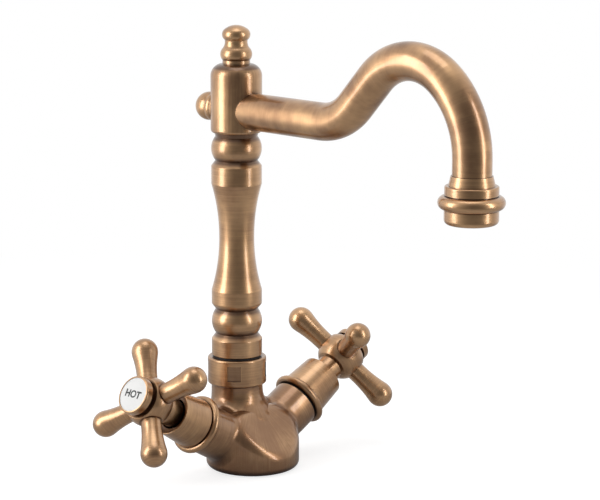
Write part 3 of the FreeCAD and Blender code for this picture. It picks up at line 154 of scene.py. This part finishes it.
# Soft boxes beside the tap: turn from the camera in degrees, width, height and watts.
SIDE_BOXES = {"left_box": (-72, 0.27, 0.60, 2.1), "right_box": (63, 0.12, 0.60, 1.15)}
SIDE_BOX_DISTANCE = 0.62
SIDE_BOX_RAISE = 0.17
TOP_BOX_RAISE = 1.3
TOP_BOX_SIZE = 0.7
TOP_BOX_POWER = 2.3

# The floor shows the tap's shadow near it and fades to the backdrop.
FLOOR_RADIUS = 3.0
FLOOR_FADE = (0.22, 0.6)
FLOOR_GREY = (0.45, 0.45, 0.45, 1.0)
FLOOR_GLOW = 0.72
SENSOR_WIDTH = 36.0
CLIP_START = 0.05
CLIP_END = 20.0


def valve_axis(side):
    """The direction in which a side's valve points, away from the casting."""
    return Vector((side * math.cos(VALVE_TILT), 0.0, math.sin(VALVE_TILT)))


# ---------------------------------------------------------------------------
# Settings that a user would change
# ---------------------------------------------------------------------------
class TapBrass(bpy.types.PropertyGroup):
    """The aged brass and its brush marks"""
    bright: bpy.props.FloatVectorProperty(
        name="Rubbed brass", description="Colour where the aged finish is rubbed bright",
        subtype="COLOR", size=3, min=0, max=1, default=(0.672, 0.405, 0.207))
    aged: bpy.props.FloatVectorProperty(
        name="Aged brass", description="Colour of the brown aged finish",
        subtype="COLOR", size=3, min=0, max=1, default=(0.337, 0.179, 0.091))
    # The recess colour is laid as patina and also as painted shade in creases, hollows, grooves
    # and notch floors.
    recess: bpy.props.FloatVectorProperty(
        name="Recess brown", description="Colour of the patina left in grooves and corners",
        subtype="COLOR", size=3, min=0, max=1, default=(0.082, 0.036, 0.020))
    roughness: bpy.props.FloatProperty(
        name="Roughness", description="Roughness of the brushed brass",
        min=0, max=1, default=0.33)
    lacquer: bpy.props.FloatProperty(
        name="Lacquer", description="Strength of the clear lacquer over the brass",
        min=0, max=1, default=0.8)
    lacquer_roughness: bpy.props.FloatProperty(
        name="Lacquer roughness", description="Roughness of the clear lacquer",
        min=0, max=1, default=0.10)
    brush_width: bpy.props.FloatProperty(
        name="Brush line", description="Width of one brush mark",
        subtype="DISTANCE", unit="LENGTH", min=0.0001, default=0.00036)
    brush_depth: bpy.props.FloatProperty(
        name="Brush depth", description="Strength of the brush marks",
        min=0, max=1, default=0.14)


class TapIndex(bpy.types.PropertyGroup):
    """The index discs and their lettering"""
    enamel: bpy.props.FloatVectorProperty(
        name="Porcelain", description="Colour of the index discs",
        subtype="COLOR", size=3, min=0, max=1, default=(0.86, 0.855, 0.84))
    ink: bpy.props.FloatVectorProperty(
        name="Ink", description="Colour of the index lettering",
        subtype="COLOR", size=3, min=0, max=1, default=(0.012, 0.011, 0.012))
    letter_height: bpy.props.FloatProperty(
        name="Letter height", description="Height of the index lettering",
        subtype="DISTANCE", unit="LENGTH", default=0.0052)


class TapStage(bpy.types.PropertyGroup):
    """The camera and the backdrop"""
    azimuth: bpy.props.FloatProperty(
        name="Azimuth", description="Camera's turn about the tap",
        subtype="ANGLE", unit="ROTATION", default=math.radians(45.006))
    elevation: bpy.props.FloatProperty(
        name="Elevation", description="Camera's height above the horizon",
        subtype="ANGLE", unit="ROTATION", default=math.radians(11.139))
    roll: bpy.props.FloatProperty(
        name="Roll", description="Camera's roll",
        subtype="ANGLE", unit="ROTATION", default=math.radians(0.147))
    distance: bpy.props.FloatProperty(
        name="Distance", description="Camera's distance from the aim point",
        subtype="DISTANCE", unit="LENGTH", default=1.237464)
    lens: bpy.props.FloatProperty(
        name="Lens", description="Camera's focal length in millimetres", default=142.28)
    aim_across: bpy.props.FloatProperty(
        name="Aim across", description="How far the camera stands to the right of its aim",
        subtype="DISTANCE", unit="LENGTH", default=0.024833)
    aim_up: bpy.props.FloatProperty(
        name="Aim up", description="How far the camera stands above its aim",
        subtype="DISTANCE", unit="LENGTH", default=-0.003533)
    aim_height: bpy.props.FloatProperty(
        name="Aim height", description="Height of the aim point on the tap's middle line",
        subtype="DISTANCE", unit="LENGTH", default=0.120)
    backdrop: bpy.props.FloatVectorProperty(
        name="Backdrop", description="Colour of the floor and backdrop",
        subtype="COLOR", size=3, min=0, max=1, default=(1.0, 1.0, 1.0))


# ---------------------------------------------------------------------------
# Small helpers for shader nodes
# ---------------------------------------------------------------------------
class Shader:
    """A material being wired up, with short ways to add the nodes it needs."""

    def __init__(self, name):
        self.material = bpy.data.materials.new(name)
        self.material.use_nodes = True
        self.tree = self.material.node_tree
        self.tree.nodes.clear()
        self.output = self.tree.nodes.new("ShaderNodeOutputMaterial")

    def node(self, kind, values=None, **settings):
        made = self.tree.nodes.new("ShaderNode" + kind)
        for key, setting in settings.items():
            setattr(made, key, setting)
        for key, wanted in (values or {}).items():
            socket = made.inputs[key]
            if isinstance(wanted, bpy.types.NodeSocket):
                self.tree.links.new(wanted, socket)
            else:
                socket.default_value = wanted
        return made

    def maths(self, operation, *values, clamp=False):
        made = self.node("Math", dict(enumerate(values)), operation=operation, use_clamp=clamp)
        return made.outputs[0]

    def vector(self, operation, *values, out=0):
        made = self.node("VectorMath", dict(enumerate(values)), operation=operation)
        return made.outputs[out]

    def smooth(self, value, low, high):
        """0 below low, 1 above high, smooth between."""
        made = self.node(
            "MapRange", {"Value": value, "From Min": low, "From Max": high},
            interpolation_type="SMOOTHSTEP")
        return made.outputs["Result"]

    def noise(self, coordinate, scale, detail=2.0, rough=0.5):
        made = self.node(
            "TexNoise", {"Vector": coordinate, "Scale": scale, "Detail": detail,
                         "Roughness": rough})
        return made.outputs["Fac"]

    def mix(self, factor, first, second):
        made = self.node("Mix", data_type="RGBA")
        for socket, wanted in zip((made.inputs[0], made.inputs[6], made.inputs[7]),
                                  (factor, first, second)):
            if isinstance(wanted, bpy.types.NodeSocket):
                self.tree.links.new(wanted, socket)
            elif hasattr(wanted, "__len__"):
                socket.default_value = (*wanted[:3], 1.0)
            else:
                socket.default_value = wanted
        return made.outputs[2]

    def finish(self, shader):
        self.tree.links.new(shader, self.output.inputs["Surface"])
        return self.material


def along_axis(shader, origin, axis):
    """How far along an axis each point lies, and how far out from it, in metres."""
    position = shader.node("TexCoord").outputs["Object"]
    offset = shader.vector("SUBTRACT", position, tuple(origin))
    along = shader.vector("DOT_PRODUCT", offset, tuple(axis), out=1)
    out = shader.vector("LENGTH", shader.vector("CROSS_PRODUCT", offset, tuple(axis)), out=1)
    return position, along, out


def around_axis(shader, origin):
    """How far round an upright axis each point lies, in metres at the base's radius."""
    position = shader.node("TexCoord").outputs["Object"]
    parts = shader.node("SeparateXYZ", {0: shader.vector("SUBTRACT", position, tuple(origin))})
    angle = shader.maths("ARCTAN2", parts.outputs[0],
                         shader.maths("MULTIPLY", parts.outputs[1], -1.0))
    return position, shader.maths("MULTIPLY", angle, BASE_RADIUS)


def brush_marks(shader, position, along, settings, width=1.0):
    """Long thin marks that run square to the 'along' direction, about 0.5 on the whole."""
    lines = shader.node("CombineXYZ", {
        "X": shader.maths("DIVIDE", along, settings.brush_width * width),
        "Y": shader.vector("DOT_PRODUCT", position, MARK_DRIFT[0], out=1),
        "Z": shader.vector("DOT_PRODUCT", position, MARK_DRIFT[1], out=1),
    }).outputs[0]
    fine = shader.noise(lines, 1.0, rough=0.6)
    broad = shader.noise(shader.vector("MULTIPLY", lines, BROAD_MARK), 1.0)
    return shader.maths("ADD", shader.maths("MULTIPLY", fine, FINE_SHARE),
                        shader.maths("MULTIPLY", broad, 1.0 - FINE_SHARE))


def brass_finish(shader, position, marks, settings, polish=0.0, streaks=STREAK_SHARE,
                 groove_shade_and_patina=0.0):
    """Lacquered aged brass, brown in its stains, rubbed bright at its edges, and darkened in its
    creases, hollows and grooves as painted shade that stands in partly for recess patina.
    """
    cloud = shader.noise(position, CLOUD_SCALE, detail=3.0, rough=0.55)
    worn = shader.maths("ADD", shader.maths("MULTIPLY", marks, streaks),
                        shader.maths("MULTIPLY", cloud, 1.0 - streaks))
    rub = shader.smooth(worn, RUB_LOW - polish, RUB_HIGH - polish)
    edges = shader.node("AmbientOcclusion", {"Distance": EDGE_REACH}, samples=6, inside=True)
    worn_edge = shader.smooth(edges.outputs["AO"], *EDGE_STEP)
    rub = shader.maths("ADD", rub, shader.maths("MULTIPLY", worn_edge, EDGE_SHARE), clamp=True)
    colour = shader.mix(rub, settings.aged, settings.bright)
    patches = shader.noise(position, STAIN_SCALE, detail=4.0, rough=0.6)
    brown = shader.maths("MULTIPLY", shader.smooth(patches, *STAIN_STEP), STAIN_SHARE)
    # The two ambient occlusion masks paint shade into the colour: creases and hollows, where
    # shade falls, are darkened towards the recess colour. The crease mask stands in partly for
    # recess patina as well.
    for reach, samples, step, share in (
            (CREVICE_REACH, 8, CREVICE_STEP, CREVICE_SHADE_SHARE),
            (HOLLOW_REACH, 6, HOLLOW_STEP, HOLLOW_SHADE_SHARE)):
        shade = shader.node("AmbientOcclusion", {"Distance": reach}, samples=samples)
        depth = shader.maths("MULTIPLY", shader.smooth(shade.outputs["AO"], *step), share)
        brown = shader.maths("MAXIMUM", brown, depth)
    # Grooves and notch floors are darkened towards the recess colour as painted shade and
    # patina.
    brown = shader.maths("MAXIMUM", brown, shader.maths("MULTIPLY", groove_shade_and_patina, GROOVE_SHADE_SHARE))
    colour = shader.mix(brown, colour, settings.recess)
    rough = shader.maths("ADD", settings.roughness - MARK_ROUGHNESS / 2,
                         shader.maths("MULTIPLY", marks, MARK_ROUGHNESS))
    bump = shader.node("Bump", {"Strength": settings.brush_depth, "Distance": MARK_HEIGHT,
                                "Height": marks}).outputs[0]
    surface = shader.node("BsdfPrincipled", {
        "Base Color": colour, "Metallic": 1.0, "Roughness": rough, "Normal": bump,
        "IOR": 1.5, "Coat Weight": settings.lacquer,
        "Coat Roughness": settings.lacquer_roughness,
    })
    return shader.finish(surface.outputs[0])


def dress(material, names):
    """Give CAD nodes a material."""
    for name in names:
        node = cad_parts[name]
        node.data.materials.clear()
        node.data.materials.append(material)


def blend_marks(shader, marks, others, share):
    """The other marks where the share is 1, and the first where it is 0."""
    change = shader.maths("MULTIPLY", share, shader.maths("SUBTRACT", others, marks))
    return shader.maths("ADD", marks, change)


def speckled(name, grain, grit, colours, roughness, pieces):
    """Dress pieces in a smooth moulded or fired finish with a fine two-colour speckle."""
    shader = Shader(name)
    position = shader.node("TexCoord").outputs["Object"]
    speck = shader.noise(position, grain, rough=grit)
    surface = shader.node("BsdfPrincipled", {
        "Base Color": shader.mix(speck, *colours), "Roughness": roughness})
    dress(shader.finish(surface.outputs[0]), pieces)


def nodes_ending(*endings):
    """Names of the CAD nodes with one of these endings."""
    return [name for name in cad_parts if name.endswith(endings)]


# ---------------------------------------------------------------------------
# Finishes of the CAD pieces
# ---------------------------------------------------------------------------
class TAP_OT_column_brass(bpy.types.Operator):
    """Brush the column's turned pieces round its upright axis and its head block up and down"""
    bl_idname = "tap.column_brass"
    bl_label = "Column brass"

    def execute(self, context):
        settings = context.scene.tap_brass
        foot_of_column = (0.0, COLUMN_Y, 0.0)
        for name, pieces, width, polish, recesses in (
                ("turned_brass", TURNED_PIECES, 1.0, TURNED_POLISH, None),
                ("beaded_brass", BEADED_PIECES, 1.0, TURNED_POLISH, self.bead_grooves),
                ("nut_brass", ["union_nut"], NUT_BRUSH, 0.0, self.nut_notch_shade)):
            shader = Shader(name)
            position, along, out = along_axis(shader, foot_of_column, UPRIGHT)
            # Grooves or notch floors to darken as painted shade and patina.
            groove_shade_and_patina = recesses(shader, along, out) if recesses else 0.0
            marks = brush_marks(shader, position, along, settings, width)
            dress(brass_finish(shader, position, marks, settings, polish, groove_shade_and_patina=groove_shade_and_patina), pieces)
        shader = Shader("block_brass")
        _, _, out = along_axis(shader, foot_of_column, UPRIGHT)
        # The groove under the head block is darkened as painted shade and patina.
        groove_shade_and_patina = shader.smooth(out, *BLOCK_GROOVE)
        position, around = around_axis(shader, foot_of_column)
        marks = brush_marks(shader, position, around, settings, BLOCK_BRUSH)
        dress(brass_finish(shader, position, marks, settings, groove_shade_and_patina=groove_shade_and_patina), ["head_block"])
        return {"FINISHED"}

    def bead_grooves(self, shader, along, out):
        """1 in the turned grooves above and below the baluster, and 0 on its own waist; the
        grooves are darkened there as painted shade and patina.
        """
        low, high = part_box("baluster")
        below = shader.smooth(along, *(low[2] + step for step in BALUSTER_FOOT))
        above = shader.smooth(along, *(high[2] + step for step in BALUSTER_HEAD))
        beyond = shader.maths("MAXIMUM", below, above)
        return shader.maths("MULTIPLY", shader.smooth(out, *BEAD_GROOVE), beyond)

    def nut_notch_shade(self, shader, _, out):
        """Above 0 on the floors of the nut's notches, which are darkened there as painted shade.
        """
        return shader.maths("MULTIPLY", shader.smooth(out, *NUT_NOTCH), NOTCH_SHADE_SHARE)


class TAP_OT_casting_brass(bpy.types.Operator):
    """Brush the base casting down its apron and foot, and round its neck and bosses"""
    bl_idname = "tap.casting_brass"
    bl_label = "Casting brass"

    def execute(self, context):
        settings = context.scene.tap_brass
        shader = Shader("casting_brass")
        position, around = around_axis(shader, (0.0, 0.0, 0.0))
        marks = brush_marks(shader, position, around, settings, CASTING_BRUSH)
        _, height, _ = along_axis(shader, (0.0, 0.0, 0.0), UPRIGHT)
        on_neck = shader.smooth(height, *NECK_START)
        round_neck = brush_marks(shader, position, height, settings, BOSS_BRUSH)
        marks = blend_marks(shader, marks, round_neck, on_neck)
        for side in SIDES.values():
            _, along, out = along_axis(shader, VALVE_ORIGIN, valve_axis(side))
            on_boss = shader.maths("MULTIPLY", shader.smooth(along, *BOSS_START),
                                   shader.smooth(out, *BOSS_EDGE))
            round_boss = brush_marks(shader, position, along, settings, BOSS_BRUSH)
            marks = blend_marks(shader, marks, round_boss, on_boss)
        dress(brass_finish(shader, position, marks, settings, CASTING_POLISH), ["mixer_body"])
        return {"FINISHED"}


class TAP_OT_valve_brass(bpy.types.Operator):
    """Brush the valves' collars, sleeves and hubs round their tilted axes"""
    bl_idname = "tap.valve_brass"
    bl_label = "Valve brass"

    def execute(self, context):
        settings = context.scene.tap_brass
        for name, side in SIDES.items():
            shader = Shader(f"{name}_valve_brass")
            position, along, _ = along_axis(shader, VALVE_ORIGIN, valve_axis(side))
            marks = brush_marks(shader, position, along, settings, VALVE_BRUSH)
            dress(brass_finish(shader, position, marks, settings),
                  [f"{name}_{piece}" for piece in VALVE_PIECES])
        return {"FINISHED"}


class TAP_OT_arm_brass(bpy.types.Operator):
    """Brush each arm of the cross handles round its own axis"""
    bl_idname = "tap.arm_brass"
    bl_label = "Arm brass"

    def execute(self, context):
        settings = context.scene.tap_brass
        for name, side in SIDES.items():
            hub = VALVE_ORIGIN + valve_axis(side) * ARM_STATION
            for arm in range(1, 5):
                node = f"{name}_arm_{arm}"
                low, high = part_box(node)
                axis = ((Vector(low) + Vector(high)) / 2 - hub).normalized()
                shader = Shader(f"{node}_brass")
                position, along, _ = along_axis(shader, hub, axis)
                marks = brush_marks(shader, position, along, settings)
                dress(brass_finish(shader, position, marks, settings, ARM_POLISH), [node])
        return {"FINISHED"}


class TAP_OT_spout_brass(bpy.types.Operator):
    """Brush the swan-neck tube round its bends and the rear knob round its own axis"""
    bl_idname = "tap.spout_brass"
    bl_label = "Spout brass"

    def execute(self, context):
        settings = context.scene.tap_brass
        shader = Shader("spout_brass")
        position = shader.node("TexCoord").outputs["Object"]
        level = shader.vector("DOT_PRODUCT", position, (0.0, -1.0, 0.0), out=1)
        crown = shader.vector("SUBTRACT", position, tuple(CROWN_CENTRE))
        parts = shader.node("SeparateXYZ", {0: crown})
        angle = shader.maths("ARCTAN2", parts.outputs[2],
                             shader.maths("MULTIPLY", parts.outputs[1], -1.0))
        over_crown = shader.maths("MULTIPLY", angle, CROWN_RADIUS)
        past = shader.smooth(level, *CROWN_START)
        marks = brush_marks(shader, position, level, settings, TUBE_BRUSH)
        round_crown = brush_marks(shader, position, over_crown, settings, TUBE_BRUSH)
        marks = blend_marks(shader, marks, round_crown, past)
        dress(brass_finish(shader, position, marks, settings, streaks=TUBE_STREAK_SHARE),
              ["spout_tube"])

        shader = Shader("knob_brass")
        position, along, _ = along_axis(shader, (0.0, COLUMN_Y, TUBE_LEVEL), (0.0, 1.0, 0.0))
        marks = brush_marks(shader, position, along, settings)
        dress(brass_finish(shader, position, marks, settings), ["rear_knob"])
        return {"FINISHED"}


class TAP_OT_rubber(bpy.types.Operator):
    """Matt black rubber for gaskets, washers and seals"""
    bl_idname = "tap.rubber"
    bl_label = "Rubber"

    def execute(self, context):
        shader = Shader("seal_rubber")
        position = shader.node("TexCoord").outputs["Object"]
        grain = shader.noise(position, RUBBER_GRAIN, rough=0.6)
        colour = shader.mix(grain, *RUBBER_COLOURS)
        bump = shader.node("Bump", {"Strength": 0.25, "Distance": 0.00005,
                                    "Height": grain}).outputs[0]
        surface = shader.node("BsdfPrincipled", {
            "Base Color": colour, "Roughness": RUBBER_ROUGHNESS, "Normal": bump})
        dress(shader.finish(surface.outputs[0]),
              nodes_ending("gasket", "seal", "washer"))
        return {"FINISHED"}


class TAP_OT_steel(bpy.types.Operator):
    """Bright steel for the clips, rings and screws"""
    bl_idname = "tap.steel"
    bl_label = "Steel"

    def execute(self, context):
        shader = Shader("spring_steel")
        position = shader.node("TexCoord").outputs["Object"]
        grain = shader.noise(shader.vector("MULTIPLY", position, STEEL_GRAIN), 1.0)
        colour = shader.mix(grain, *STEEL_COLOURS)
        rough = shader.maths("ADD", STEEL_ROUGHNESS,
                             shader.maths("MULTIPLY", grain, STEEL_ROUGHER))
        surface = shader.node("BsdfPrincipled", {
            "Base Color": colour, "Metallic": 1.0, "Roughness": rough})
        dress(shader.finish(surface.outputs[0]),
              nodes_ending("circlip", "handle_screw", "retaining_ring"))
        return {"FINISHED"}


class TAP_OT_ceramic(bpy.types.Operator):
    """Fine-ground ceramic for the valve discs and white moulding for the aerator insert"""
    bl_idname = "tap.ceramic"
    bl_label = "Ceramic and plastic"

    def execute(self, context):
        speckled("disc_ceramic", CERAMIC_GRAIN, 0.6, CERAMIC_COLOURS, CERAMIC_ROUGHNESS,
                 nodes_ending("fixed_disc", "moving_disc"))
        speckled("aerator_plastic", PLASTIC_GRAIN, 0.5, PLASTIC_COLOURS, PLASTIC_ROUGHNESS,
                 ["aerator_insert"])
        return {"FINISHED"}


class TAP_OT_index(bpy.types.Operator):
    """Glazed porcelain index discs with plain HOT and COLD lettering"""
    bl_idname = "tap.index"
    bl_label = "Index discs"

    def execute(self, context):
        settings = context.scene.tap_index
        shader = Shader("index_porcelain")
        position = shader.node("TexCoord").outputs["Object"]
        cloud = shader.noise(position, ENAMEL_CLOUD)
        shaded = [channel * ENAMEL_SHADE for channel in settings.enamel]
        colour = shader.mix(cloud, shaded, settings.enamel)
        ripple = shader.node("Bump", {"Strength": 0.04, "Distance": 0.0001,
                                      "Height": cloud}).outputs[0]
        surface = shader.node("BsdfPrincipled", {
            "Base Color": colour, "Roughness": ENAMEL_ROUGHNESS, "Normal": ripple,
            "Coat Weight": ENAMEL_GLAZE, "Coat Roughness": ENAMEL_GLAZE_ROUGHNESS})
        dress(shader.finish(surface.outputs[0]), nodes_ending("index_disc"))

        shader = Shader("index_ink")
        position = shader.node("TexCoord").outputs["Object"]
        speck = shader.noise(position, INK_GRAIN, rough=0.6)
        paler = [channel * INK_PALER for channel in settings.ink]
        surface = shader.node("BsdfPrincipled", {
            "Base Color": shader.mix(speck, settings.ink, paler), "Roughness": INK_ROUGHNESS})
        ink = shader.finish(surface.outputs[0])
        for name, side in SIDES.items():
            letter_index(name, side, ink, settings.letter_height)
        return {"FINISHED"}


def letter_index(name, side, ink, height):
    """Lay a plain word on an index disc as thin raised enamel."""
    axis = valve_axis(side)
    up = Vector((-side * math.sin(VALVE_TILT), 0.0, math.cos(VALVE_TILT)))
    right = up.cross(axis)
    face = VALVE_ORIGIN + axis * INDEX_FACE
    bpy.ops.object.select_all(action="DESELECT")
    bpy.ops.object.text_add()
    word = bpy.context.object
    word.name = f"{name}_index_word"
    word.data.body = name.upper()
    word.data.align_x = "CENTER"
    word.data.align_y = "CENTER"
    word.data.size = height
    word.data.offset = LETTER_BOLDER * height
    word.data.extrude = LETTER_RAISE
    bpy.ops.object.convert(target="MESH")
    word = bpy.context.object
    turn = Matrix((right, up, axis)).transposed().to_4x4()
    word.matrix_world = Matrix.Translation(face) @ turn
    bpy.ops.object.transform_apply(location=True, rotation=True, scale=True)
    word.data.materials.clear()
    word.data.materials.append(ink)
    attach(word, f"{name}_handle")


# ---------------------------------------------------------------------------
# Floor, backdrop, lights and camera
# ---------------------------------------------------------------------------
def area_light(name, place, width, height, power):
    """A soft box that faces the tap."""
    light = bpy.data.lights.new(name, "AREA")
    light.shape = "RECTANGLE"
    light.size = width
    light.size_y = height
    light.energy = power
    lamp = bpy.data.objects.new(name, light)
    lamp.location = place
    lamp.rotation_euler = (STUDIO_CENTRE - place).to_track_quat("-Z", "Y").to_euler()
    bpy.context.collection.objects.link(lamp)


class TAP_OT_stage(bpy.types.Operator):
    """White floor and world, soft boxes to either side and the photograph's camera"""
    bl_idname = "tap.stage"
    bl_label = "Stage"

    def execute(self, context):
        settings = context.scene.tap_stage
        azimuth, elevation = settings.azimuth, settings.elevation
        right = Vector((math.cos(azimuth), -math.sin(azimuth), 0.0))
        back = Vector((-math.sin(azimuth) * math.cos(elevation),
                       -math.cos(azimuth) * math.cos(elevation), math.sin(elevation)))
        up = back.cross(right)
        rolled_right = right * math.cos(settings.roll) + up * math.sin(settings.roll)
        rolled_up = up * math.cos(settings.roll) - right * math.sin(settings.roll)
        place = (Vector((0.0, 0.0, settings.aim_height)) + back * settings.distance
                 + right * settings.aim_across + up * settings.aim_up)
        camera = bpy.data.cameras.new("camera")
        camera.lens = settings.lens
        camera.sensor_width = SENSOR_WIDTH
        camera.clip_start = CLIP_START
        camera.clip_end = CLIP_END
        eye = bpy.data.objects.new("camera", camera)
        eye.matrix_world = (Matrix.Translation(place)
                            @ Matrix((rolled_right, rolled_up, back)).transposed().to_4x4())
        context.collection.objects.link(eye)
        context.scene.camera = eye

        flat_back = Vector((back.x, back.y, 0.0)).normalized()

        def way(turn):
            """A level direction at an angle to the camera's side, right positive."""
            angle = math.radians(turn)
            return flat_back * math.cos(angle) + right * math.sin(angle)

        dark_side = way(DARK_TURN)
        self.floor(context, settings, dark_side)
        self.world(context, dark_side)
        for name, (turn, width, height, power) in SIDE_BOXES.items():
            place = STUDIO_CENTRE + way(turn) * SIDE_BOX_DISTANCE
            place.z += SIDE_BOX_RAISE
            area_light(name, place, width, height, power)
        area_light("top_box", STUDIO_CENTRE + Vector((0.0, 0.0, TOP_BOX_RAISE)), TOP_BOX_SIZE,
                   TOP_BOX_SIZE, TOP_BOX_POWER)
        context.scene.view_settings.view_transform = "Standard"
        return {"FINISHED"}

    def floor(self, context, settings, dark_side):
        """A white floor that keeps the shadow, and that reflections see as the studio."""
        bpy.ops.object.select_all(action="DESELECT")
        bpy.ops.mesh.primitive_circle_add(vertices=96, radius=FLOOR_RADIUS, fill_type="NGON")
        floor = context.object
        floor.name = "floor"
        shader = Shader("floor_white")
        position = shader.node("TexCoord").outputs["Object"]
        out = shader.vector("LENGTH", position, out=1)
        far = shader.smooth(out, *FLOOR_FADE)
        facing = shader.vector("DOT_PRODUCT", shader.vector("NORMALIZE", position),
                               tuple(dark_side), out=1)
        level = shader.node("MapRange", {"Value": facing, **STUDIO_LEVEL},
                            interpolation_type="SMOOTHSTEP").outputs["Result"]
        rays = shader.node("LightPath")
        camera = rays.outputs["Is Camera Ray"]
        mirrored = shader.maths("MAXIMUM", rays.outputs["Is Glossy Ray"],
                                rays.outputs["Is Transmission Ray"])
        seen = shader.maths("MAXIMUM", camera, mirrored)
        matt = shader.node("BsdfDiffuse", {"Color": FLOOR_GREY})
        glow = shader.node("Emission", {
            "Color": (*settings.backdrop, 1.0),
            "Strength": shader.maths("MULTIPLY", camera, FLOOR_GLOW)})
        near = shader.node("AddShader", {0: matt.outputs[0], 1: glow.outputs[0]})
        white = shader.node("Emission", {"Color": (*settings.backdrop, 1.0),
                                         "Strength": shader.maths("MAXIMUM", camera, level)})
        fade = shader.maths("MULTIPLY", far, seen)
        mixed = shader.node("MixShader", {0: fade, 1: near.outputs[0], 2: white.outputs[0]})
        floor.data.materials.append(shader.finish(mixed.outputs[0]))

    def world(self, context, front):
        """A pale studio that is darker on the camera's side and white to the camera itself."""
        world = bpy.data.worlds.new("studio")
        context.scene.world = world
        world.use_nodes = True
        tree = world.node_tree
        tree.nodes.clear()
        way = tree.nodes.new("ShaderNodeTexCoord")
        facing = tree.nodes.new("ShaderNodeVectorMath")
        facing.operation = "DOT_PRODUCT"
        facing.inputs[1].default_value = tuple(front)
        tree.links.new(way.outputs["Generated"], facing.inputs[0])
        level = tree.nodes.new("ShaderNodeMapRange")
        level.interpolation_type = "SMOOTHSTEP"
        for socket, value in STUDIO_LEVEL.items():
            level.inputs[socket].default_value = value
        tree.links.new(facing.outputs["Value"], level.inputs["Value"])
        rays = tree.nodes.new("ShaderNodeLightPath")
        soft = tree.nodes.new("ShaderNodeBackground")
        tree.links.new(level.outputs["Result"], soft.inputs["Strength"])
        white = tree.nodes.new("ShaderNodeBackground")
        for light in (soft, white):
            light.inputs["Color"].default_value = (1.0, 1.0, 1.0, 1.0)
        mixed = tree.nodes.new("ShaderNodeMixShader")
        output = tree.nodes.new("ShaderNodeOutputWorld")
        tree.links.new(rays.outputs["Is Camera Ray"], mixed.inputs[0])
        tree.links.new(soft.outputs[0], mixed.inputs[1])
        tree.links.new(white.outputs[0], mixed.inputs[2])
        tree.links.new(mixed.outputs[0], output.inputs["Surface"])


class TAP_PT_panel(bpy.types.Panel):
    bl_idname = "TAP_PT_panel"
    bl_label = "Cross handle tap"
    bl_space_type = "VIEW_3D"
    bl_region_type = "UI"
    bl_category = "Tap"

    def draw(self, context):
        for operator in STEPS:
            self.layout.operator(operator.bl_idname)
        for group in (context.scene.tap_brass, context.scene.tap_index, context.scene.tap_stage):
            box = self.layout.box()
            for key in group.__annotations__:
                box.prop(group, key)


STEPS = (TAP_OT_column_brass, TAP_OT_casting_brass, TAP_OT_valve_brass, TAP_OT_arm_brass,
         TAP_OT_spout_brass, TAP_OT_rubber, TAP_OT_steel, TAP_OT_ceramic, TAP_OT_index,
         TAP_OT_stage)
GROUPS = {"tap_brass": TapBrass, "tap_index": TapIndex, "tap_stage": TapStage}


def register():
    for group in GROUPS.values():
        bpy.utils.register_class(group)
    for name, group in GROUPS.items():
        setattr(bpy.types.Scene, name, bpy.props.PointerProperty(type=group))
    for operator in STEPS:
        bpy.utils.register_class(operator)
    bpy.utils.register_class(TAP_PT_panel)


def unregister():
    bpy.utils.unregister_class(TAP_PT_panel)
    for operator in reversed(STEPS):
        bpy.utils.unregister_class(operator)
    for name, group in reversed(GROUPS.items()):
        delattr(bpy.types.Scene, name)
        bpy.utils.unregister_class(group)


def main():
    register()
    for operator in STEPS:
        area, name = operator.bl_idname.split(".")
        getattr(getattr(bpy.ops, area), name)()


if __name__ == "__main__":
    main()
